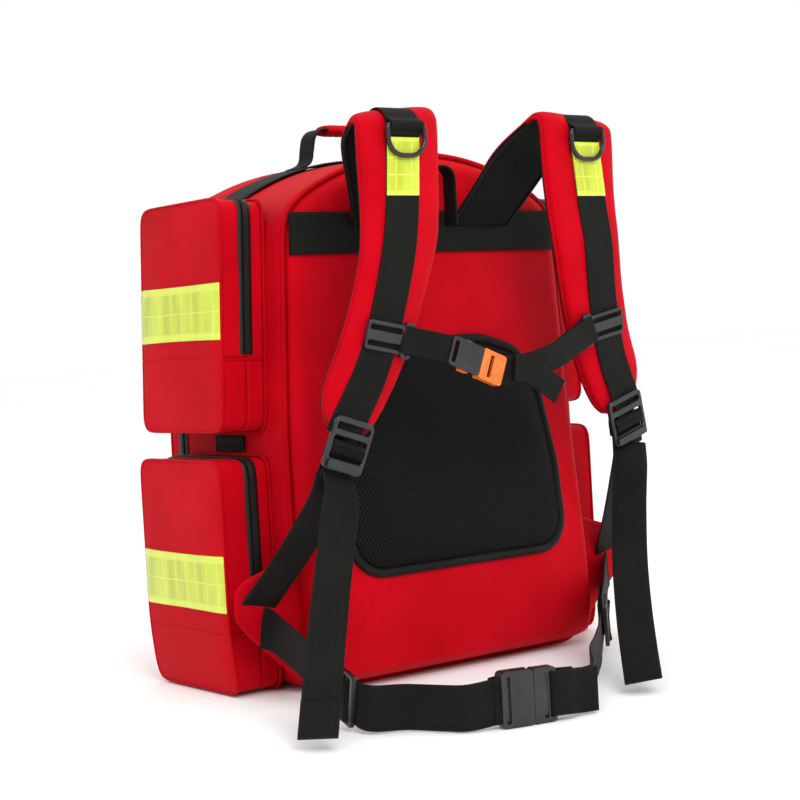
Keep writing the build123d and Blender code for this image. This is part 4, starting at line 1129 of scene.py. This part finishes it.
for name, side in SIDES.items():
    section = []
    for a in ANGLES:
        c, s = math.cos(a), math.sin(a)
        wide = math.copysign(abs(c) ** 0.32, c)
        tall = math.copysign(abs(s) ** 0.75, s)
        section.append((wide * 0.985,
                        -T_PAD / 2 + tall * T_PAD / 2 + (1.0 * MM * (1 - wide ** 2) if s > 0 else 0)))
    points = strap_points(side, section)
    spots = wobble(points, 0.05, side) * 1.1 * MM + wobble(points, 0.016, side + 5.0) * 0.3 * MM
    outward = np.array([0, -1, 0])
    calm = np.clip(np.arange(len(points)) / 10, 0, 1)[:, None]
    points = points + outward * (spots * calm)[..., None]
    obj = grid_object(f"strap_pad_{name}", points, wrap=True)
    cap_ends(obj, len(ANGLES), len(points))
    bm = bmesh.new()
    bm.from_mesh(obj.data)
    bmesh.ops.recalc_face_normals(bm, faces=bm.faces)
    bm.to_mesh(obj.data)
    bm.free()
    link(obj, "pack", "red_fabric", RED, (f"shoulder_pad_{name}",), (BLACK_MESH,))
    quads = len(ANGLES)
    for i, face in enumerate(obj.data.polygons):
        column = i % quads
        past = stations[min(i // quads, len(stations) - 1), 1] > RUN[CREST] + 14 * MM
        first, last = (0.5, 1) if past else (0.545, 0.955)
        if i < quads * (len(points) - 1) and quads * first <= column < quads * last:
            face.material_index = 1
    # bound edges: a red tape folded round the seam and a thin dark line beside the mesh
    for k, (wide, height, radius, squash, mat, slot_name) in enumerate((
            (0.975, -9.2, 2.1, 0.8, RED_TRIM, "red_fabric"),
                                                                        (0.955, -13.0, 1.3, 0.8,
                                                                         BLACK_TRIM, "black_webbing"))):
        edges = strap_points(side, [(-wide, height * MM), (wide, height * MM)])
        if k == 0:
            edges = edges[stations[:, 1] < RUN[CREST] + 16 * MM]
        path = np.vstack([edges[::-1, 0], edges[:, 1]])
        cord = tube(f"strap_edge_{name}_{k}", smooth_path(path, 3 * MM, 3 * MM), radius * MM, 8,
                    squash=squash)
        cap_ends(cord, 8, len(cord.data.vertices) // 8)
        link(cord, "pack", slot_name, mat)
    # webbing down the middle of the strap, over its crest and round the ring's bar
    ring_lo, ring_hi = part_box(f"d_ring_{name}")
    bar = ring_hi.z - 2.2 * MM
    ring_y = (ring_lo.y + ring_hi.y) / 2
    mids = np.array(mm((108, 560), (108, 500), (114, 430), (125, 365), (134, 322), (148, 285), (167, 250),
                       (175, 236))[::-1])
    mids = smooth_path(mids, 4 * MM, 6 * MM)
    low_z = np.linspace(236, 512, 120) * MM
    def web_point(z, rise):
        point, normal = strap_at(run_of(z))
        x = np.interp(z, mids[:, 1], mids[:, 0])
        spot = point + normal * rise
        return np.array([side * x, spot[0], spot[1]])
    lower = np.array([web_point(z, 1.9 * MM) for z in low_z])
    wide = np.gradient(lower, axis=0)
    wide = unit(np.cross(unit(wide), (0, -1, 0)))
    low_web = ribbon(f"strap_web_{name}", lower, wide, 36 * MM, WEB)
    crest_runs = np.linspace(run_of(bar + 6 * MM), RUN[CREST] + 5 * MM, 60)
    point, normal = strap_at(crest_runs)
    over = point + normal * np.linspace(2.4, -0.6, 60)[:, None] * MM
    over = np.stack([np.full(len(over), side * 108 * MM), over[:, 0], over[:, 1]], axis=1)
    angle = np.linspace(math.radians(-100), math.radians(95), 14)
    hook = [(side * 108 * MM, ring_y - 3.6 * MM * math.cos(a),
             bar + 3.6 * MM * math.sin(a)) for a in angle]
    tuck = [(side * 108 * MM, ring_y + 2.6 * MM, bar - 9 * MM),
            (side * 108 * MM, ring_y + 1.6 * MM, bar - 5.5 * MM)]
    full = smooth_path(np.vstack([tuck, hook, over]), 1.5 * MM, 1.5 * MM)
    high_web = ribbon("over", full, (1, 0, 0), 36 * MM, WEB)
    link(join(f"strap_webbing_{name}", [low_web, high_web]), "pack", "black_webbing", STRAP_BLACK)
    rows = []
    for s in (-1, 1):
        rows.append((lower[6:] + wide[6:] * s * 16 * MM + [0, -1.1 * MM, 0], (0, -1, 0)))
    link(stitches(f"strap_web_seam_{name}", rows), "pack", "black_webbing", BLACK_THREAD)

    # reflective patch: a plain border and two by three embossed blocks
    zs = np.linspace(443, 495, 54) * MM
    across = np.linspace(-18, 18, 40) * MM
    grid = []
    for i, z in enumerate(zs):
        base_point = web_point(z, 3.3 * MM)
        for_x = []
        for a in across:
            up_line = (z - zs[0])
            cell = min(abs(a), abs(abs(a) - 15 * MM), abs((up_line - 4 * MM) % (14.7 * MM)),
                       abs(14.7 * MM - (up_line - 4 * MM) % (14.7 * MM)))
            lift = min(cell / (0.9 * MM), 1) * 0.5 * MM
            if i in (0, len(zs) - 1) or abs(a) > 17.8 * MM:
                lift = -1.2 * MM
            for_x.append(base_point + np.array([a, -lift, 0]))
        grid.append(for_x)
    grid = np.array(grid)
    uvs = np.stack([np.broadcast_to(across[None], grid.shape[:2]) + 17 * MM, grid[..., 2] - zs[0]],
                   axis=2)
    patch = facing(grid_object(f"strap_patch_{name}", grid, uvs), (0, 0, 0.45))
    link(patch, "pack", "reflective_tape", PATCH)
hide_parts("strap_webs")
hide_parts("strap_patches")

# ---------------------------------------------------------------- straps below the pads
TAIL_END = {"right": mm((-297, -307, 11.5))[0], "left": mm((10, -357, 12.5))[0]}
FACE = unit(np.array([0, -28.5, 172.0]))
FACE_OUT = unit(np.array([0, -172.0, -28.5]))
for name, side in SIDES.items():
    turn = math.radians(18.4)
    up = FACE * math.cos(turn) - np.array([side, 0, 0]) * math.sin(turn)
    wide = np.cross(up, FACE_OUT)
    lock = np.array([side * 169 * MM, -187 * MM + 1 * MM * FACE[1] / FACE[2], 229 * MM])

    def in_lock(along, proud):
        return lock + up * along * MM + FACE_OUT * proud * MM
    # webbing threaded through the lock: up behind it, over the grip bar and out behind the lip
    first = [in_lock(*p) for p in ((-31, -4.5), (-16, -2.0), (-3, -1.2), (2.5, 1.5), (3.0, 5.0), (0, 7.9),
                                   (-4, 8.2))]
    second = [in_lock(*p) for p in ((-2, 8.2), (-7, 7.8), (-9.8, 5.0), (-11.5, 2.2), (-16, 1.1),
                                    (-24, 1.0), (-32, 0.2))]
    third = [in_lock(*p) for p in ((26, -0.6), (16, -0.9), (8, -1.3), (0, -3.6), (-14, -4.6))]
    parts = []
    for route in (first, second, third):
        parts.append(ribbon("part", smooth_path(route, 1.2 * MM, 1.5 * MM), wide, 35.6 * MM, 1.7 * MM))
    fold_web = join(f"lock_webbing_{name}", parts)
    link(fold_web, f"ladder_lock_{name}", "black_webbing", STRAP_BLACK)
    start = np.array((side * 175 * MM, -183 * MM, 203 * MM))
    end = np.array((side * 213 * MM, -109 * MM, 94 * MM))
    back_of_lock = in_lock(-26, -4.2)
    k = np.linspace(0, 1, 12)[1:-1, None]
    straight = start + (end - start) * k
    straight[:, 2] -= (np.sin(k[:, 0] * math.pi) * 5 * MM)
    anchor = smooth_path(np.vstack([back_of_lock, straight, end,
                                    end + (np.array([side * 3, 6, -8]) * MM)]), 3 * MM, 8 * MM)
    anchor = ribbon(f"anchor_webbing_{name}", anchor, (1, 0.15 * side, 0), 36 * MM, WEB)
    link(anchor, "pack", "black_webbing", STRAP_BLACK)
    end = np.array(TAIL_END[name])
    below = np.array(((-181, -196, 190) if side < 0 else (161, -201, 184))) * MM
    k = np.linspace(0, 1, 16)[:, None]
    line = below + (end - below) * k
    bend = np.sin(k[:, 0] * math.pi)
    line[:, 0] -= bend * (5 * MM if side < 0 else 12 * MM)
    line[:, 1] -= bend * 4 * MM
    line[:, 2] -= bend * 3 * MM
    path = smooth_path(np.vstack([[in_lock(-27, 0.8)], line]), 3 * MM, 7 * MM)
    twist = np.clip(np.linspace(0, 3.5, len(path)), 0, 1)[:, None]
    down = unit(end - below)
    level = unit(np.cross((0, 0, 1), down))
    level = level * math.copysign(1, level[0])
    level = level + np.cross(down, level) * math.copysign(0.16 if side > 0 else 0.02,
                                                          np.cross(down, level)[2])
    direction = wide * (1 if wide[0] > 0 else -1) * (1 - twist) + level * twist
    tail = ribbon(f"strap_tail_{name}", path, direction, 33 * MM, WEB, 1.0 * MM)
    hem = ribbon("hem", path[-12:] + unit(np.cross(down, level)) * 1.6 * MM, level, 32.4 * MM, WEB)
    link(join(tail.name, [tail, hem]), "pack", "black_webbing", STRAP_BLACK)
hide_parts("anchor_webs")
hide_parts("strap_tails")

# ---------------------------------------------------------------- wings and hip belt
WING = [(168, 130), (168, 10), (176, 14), (226, 60), (240, 78), (238, 104), (226, 112)]
for name, side in SIDES.items():
    corners = [(side * x * MM, z * MM) for x, z in WING]
    if side < 0:
        corners = corners[::-1]
    if sum(a[0] * b[1] - b[0] * a[1] for a, b in zip(corners, corners[1:] + corners[:1])) < 0:
        corners = corners[::-1]
    loop = smooth_loop(corners, 160, 4 * MM)
    out = outline_normals(loop)
    rings, apart = rings_to_centre(loop, out, [0, 0.6 * MM, 1.6 * MM, 4 * MM, 7 * MM],
                                   np.linspace(0.9, 0.03, 12),
                                   loop.mean(axis=0))
    swell = 1.6 * MM * np.clip(apart / (1.6 * MM), 0, 1) ** 0.5 + 1.8 * MM * np.clip(apart / (14 * MM), 0,
                                                                                     1)
    middle = -101.5 * MM
    soft = wobble(np.concatenate([rings, np.full(rings.shape[:2] + (1,), side * 2.0)], axis=2),
                  0.04) * 0.7 * MM
    sides_of = []
    for turn in (-1, 1):
        depth = middle + turn * (swell + soft * np.clip(apart / (4 * MM), 0, 1))
        sides_of.append(stood("wing", rings, depth, (side * 0.2, middle, 0.08)))
    wing = join(f"hip_wing_{name}", sides_of)
    link(wing, "pack", "red_fabric", RED)
    seam = loop - out * 3.4 * MM
    rows = [(upright(seam, middle - 2.9 * MM), (0, -1, 0))]
    link(stitches(f"wing_seam_{name}", rows), "pack", "red_fabric", RED_THREAD)
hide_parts("hip_wings")

BELT_AXIS = unit(np.array([0.972, -0.237, 0]))
WAIST = np.array((-124, -363, 23.4)) * MM
BELT_Z = 20.2
RIGHT = mm((-214, -104, 68), (-208, -110, 66), (-237, -283, 23), (-233, -290, BELT_Z + 1),
           (-205, -300, BELT_Z),
           (-181, -349.5, BELT_Z), (-160, -355, BELT_Z + 2), (-149.5, -356.8, 23.0))
LEFT = mm((214, -105, 68), (207, -110, 66), (122, -188, 23), (114, -196, BELT_Z + 1), (76, -234, BELT_Z),
          (2, -301, BELT_Z),
          (-56, -366, BELT_Z), (-74, -373.0, BELT_Z + 1))
for name, side, line in (("right", -1, RIGHT), ("left", 1, LEFT)):
    path = smooth_path(line, 2 * MM, 7 * MM)
    wide = np.broadcast_to(np.array([0, 0, 1.0]), path.shape)
    belt = ribbon(f"belt_{name}", path, wide, 38 * MM, WEB, 0.8 * MM)
    # the doubled end that comes back out of the adjuster
    glide_lo, glide_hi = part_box(f"tri_glide_{name}")
    glide = np.array((glide_lo + glide_hi) / 2)
    near = int(np.argmin(np.linalg.norm(path - glide, axis=1)))
    tangent = unit(path[near + 4] - path[near - 4])
    off = unit(np.cross(tangent, (0, 0, 1)))
    toward = glide - path[near]
    off = off if off @ toward > 0 else -off
    second = path[max(near - 26, 0):near + 1] - off * 2.6 * MM
    over = [path[near] + off * 1.0 * MM - tangent * 9 * MM,
            path[near] + off * 6.2 * MM - tangent * 4 * MM,
            path[near] + off * 6.2 * MM + tangent * 4 * MM,
            path[near] + off * 1.0 * MM + tangent * 9 * MM]
    bridge = ribbon("bridge", smooth_path(over, 1.2 * MM, 1.5 * MM), (0, 0, 1), 37 * MM, WEB)
    double = ribbon("double", second, (0, 0, 1), 37.6 * MM, WEB)
    link(bridge, f"tri_glide_{name}", "black_webbing", BELT_BLACK)
    bridge.name = f"belt_bridge_{name}"
    link(join(f"belt_webbing_{name}", [belt, double]), "pack", "black_webbing", BELT_BLACK)
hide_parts("belt_webs")

# webbing sewn into the socket, and the run of webbing beside the plug
slot_at = WAIST - BELT_AXIS * 23.5 * MM
out = np.cross(BELT_AXIS, (0, 0, 1))
loop = [slot_at - BELT_AXIS * 10 * MM + out * 1 * MM, slot_at - BELT_AXIS * 4 * MM + out * 3 * MM,
        slot_at - BELT_AXIS * 0.3 * MM + out * 0.5 * MM, slot_at - BELT_AXIS * 0.3 * MM - out * 3 * MM,
        slot_at - BELT_AXIS * 5 * MM - out * 8.0 * MM, slot_at - BELT_AXIS * 12 * MM - out * 4 * MM]
link(ribbon("belt_socket_loop", smooth_path(loop, 1.2 * MM, 1.6 * MM), (0, 0, 1), 37 * MM, WEB), "pack",
     "black_webbing", BELT_BLACK)
bars = WAIST + BELT_AXIS * 14.2 * MM
run = [np.array(LEFT[-1]) + BELT_AXIS * 12 * MM + out * 0.5 * MM, np.array(LEFT[-1]),
       WAIST + BELT_AXIS * 34 * MM + out * 5 * MM,
       bars + BELT_AXIS * 6 * MM + out * 5 * MM, bars + BELT_AXIS * 2.0 * MM + out * 2 * MM,
       bars - out * 6.2 * MM,
       bars + BELT_AXIS * 6 * MM - out * 7.4 * MM, WAIST + BELT_AXIS * 40 * MM - out * 1.5 * MM]
give = ribbon("belt_plug_loop", smooth_path(run, 1.3 * MM, 2.0 * MM), (0, 0, 1), 37.6 * MM, WEB)
bpy.context.scene.collection.objects.link(give)
give.data.materials.append(BELT_BLACK)
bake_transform(give)

# ---------------------------------------------------------------- sternum strap
CHEST = np.array((-38, -217, 293.5)) * MM
CHEST_AXIS = np.array([math.cos(math.radians(21.6)), 0, -math.sin(math.radians(21.6))])


def chest_web(name, body, path, material=SMALL_BLACK, node=None):
    path = smooth_path(path, 1.5 * MM, 2.5 * MM)
    tangent = unit(np.gradient(path, axis=0))
    wide = unit(np.cross(tangent, (0, -1, 0)))
    strip = ribbon(name, path, wide, 25 * MM, WEB, 0.5 * MM)
    return link(strip, body, "black_webbing", material, (node,) if node else ())


def off(x, y, z):
    """A place, or a step between two places, given in millimetres."""
    return np.array([x, y, z]) * MM


for name, side in SIDES.items():
    lo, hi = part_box(f"sternum_slider_{name}")
    bar = np.array((side * 115.0 * MM, (lo.y + hi.y) / 2, (lo.z + hi.z) / 2 - 1 * MM))
    body = f"sternum_{name}"
    if side < 0:
        slot_at = CHEST - CHEST_AXIS * 31.5 * MM
        front = [bar + off(-2, 1, 1), bar + off(-1, -3.0, 1), bar + off(6, -3.0, -1),
                 off(-84, -219.0, 310), slot_at + off(-5, -3.2, 2), slot_at + off(0.5, 0, 0)]
        rear = [slot_at + off(0.5, 0, 0), slot_at + off(-5, 4.2, 2),
                off(-84, -214.2, 310), bar + off(6, 2.5, -1), bar + off(-2, 1, 1)]
        chest_web("sternum_webbing_right", body, front, node="sternum_web_right")
        chest_web("sternum_webbing_right_rear", body, rear)
    else:
        front = [bar + off(2, 1, 1), bar + off(1, -3.0, 1), bar + off(-7, -2.5, -2),
                 off(62, -217.5, 297.0), off(40, -218.5, 291.0), off(18, -217.5, 286.0)]
        rear = [off(62, -215.3, 297.0), bar + off(-7, 2.2, -2), bar + off(2, 1, 1)]
        chest_web("sternum_webbing_left", body, front, node="sternum_web_left")
        chest_web("sternum_webbing_left_rear", body, rear)
        tail = [off(2, -220.5, 286.5), off(18, -221.0, 284.5), off(36, -222.0, 273.5),
                off(54, -222.0, 261.0)]
        chest_web("sternum_webbing_tail", body, tail)
plug_slot = CHEST + CHEST_AXIS * 12 * MM
give = [off(24, -217.0, 287.5), off(10, -214.5, 284.5),
        plug_slot + CHEST_AXIS * 14 * MM + off(0, 6.4, 0),
        plug_slot + CHEST_AXIS * 3 * MM + off(0, 6.0, 0),
        plug_slot + off(0, 2.0, 0), plug_slot + off(0, -2.0, 0)]
chest_web("sternum_plug_loop", "sternum_plug", give)

# ---------------------------------------------------------------- hard parts carried over
HARD = {"dark_plastic": DARK, "orange_plastic": ORANGE, "zip_metal": ENAMEL}
slots = {part["node"]: part["material_slot"] for part in frame["record"]["subparts"]}
for node, name in slots.items():
    if name in HARD and not node.startswith("d_ring"):
        bpy.data.objects[node].data.materials.clear()
        bpy.data.objects[node].data.materials.append(HARD[name])
for name in SIDES:
    ring = bpy.data.objects[f"d_ring_{name}"]
    ring.data.materials.clear()
    ring.data.materials.append(ENAMEL)

# ---------------------------------------------------------------- floor, light and camera
floor_mesh = bpy.data.meshes.new("floor")
floor_mesh.from_pydata([(-40, -40, 0), (40, -40, 0), (40, 40, 0), (-40, 40, 0)], [], [(0, 1, 2, 3)])
floor = bpy.data.objects.new("floor", floor_mesh)
bpy.context.scene.collection.objects.link(floor)
paper = Nodes("paper")
tone = paper.ramp(paper.noise(2.0, 2.0), [(0.3, (0.99, 0.99, 0.99)), (0.7, (1.0, 1.0, 1.0))])
floor_mesh.materials.append(paper.finish(tone, 0.8))

world = bpy.data.worlds.new("studio")
bpy.context.scene.world = world
world.use_nodes = True
world.node_tree.nodes["Background"].inputs["Color"].default_value = (1, 1, 1, 1)
world.node_tree.nodes["Background"].inputs["Strength"].default_value = 1.0


def area_light(name, place, target, size, power):
    light = bpy.data.lights.new(name, "AREA")
    light.shape = "RECTANGLE"
    light.size, light.size_y = size
    light.energy = power
    obj = bpy.data.objects.new(name, light)
    obj.location = place
    obj.rotation_euler = (Vector(target) - Vector(place)).to_track_quat("-Z", "Y").to_euler()
    bpy.context.scene.collection.objects.link(obj)


area_light("key", (-0.75, -2.1, 1.7), (0, -0.1, 0.25), (1.1, 1.1), 30)
area_light("fill", (1.9, -0.6, 1.2), (0, 0, 0.25), (1.2, 1.6), 4)
area_light("top", (0.0, 0.1, 2.2), (0, 0, 0.3), (1.6, 1.6), 8)

AZ, EL, ROLL = -0.650039, 0.034385, -0.057940
DIST, TARGET = 1.71503, Vector((-0.0400514, -0.1, 0.2605726))
back = Vector((math.sin(AZ) * math.cos(EL), -math.cos(AZ) * math.cos(EL), math.sin(EL)))
right = Vector((math.cos(AZ), math.sin(AZ), 0))
up = back.cross(right)
side_r = right * math.cos(ROLL) + up * math.sin(ROLL)
side_u = up * math.cos(ROLL) - right * math.sin(ROLL)
camera = bpy.data.objects.new("camera", bpy.data.cameras.new("camera"))
camera.data.lens = 81.0
camera.data.sensor_width = 36.0
bpy.context.scene.collection.objects.link(camera)
place = TARGET + back * DIST
camera.matrix_world = Matrix(((side_r.x, side_u.x, back.x, place.x),
                              (side_r.y, side_u.y, back.y, place.y),
                              (side_r.z, side_u.z, back.z, place.z), (0, 0, 0, 1)))
bpy.context.scene.camera = camera
bpy.context.scene.view_settings.view_transform = "Standard"
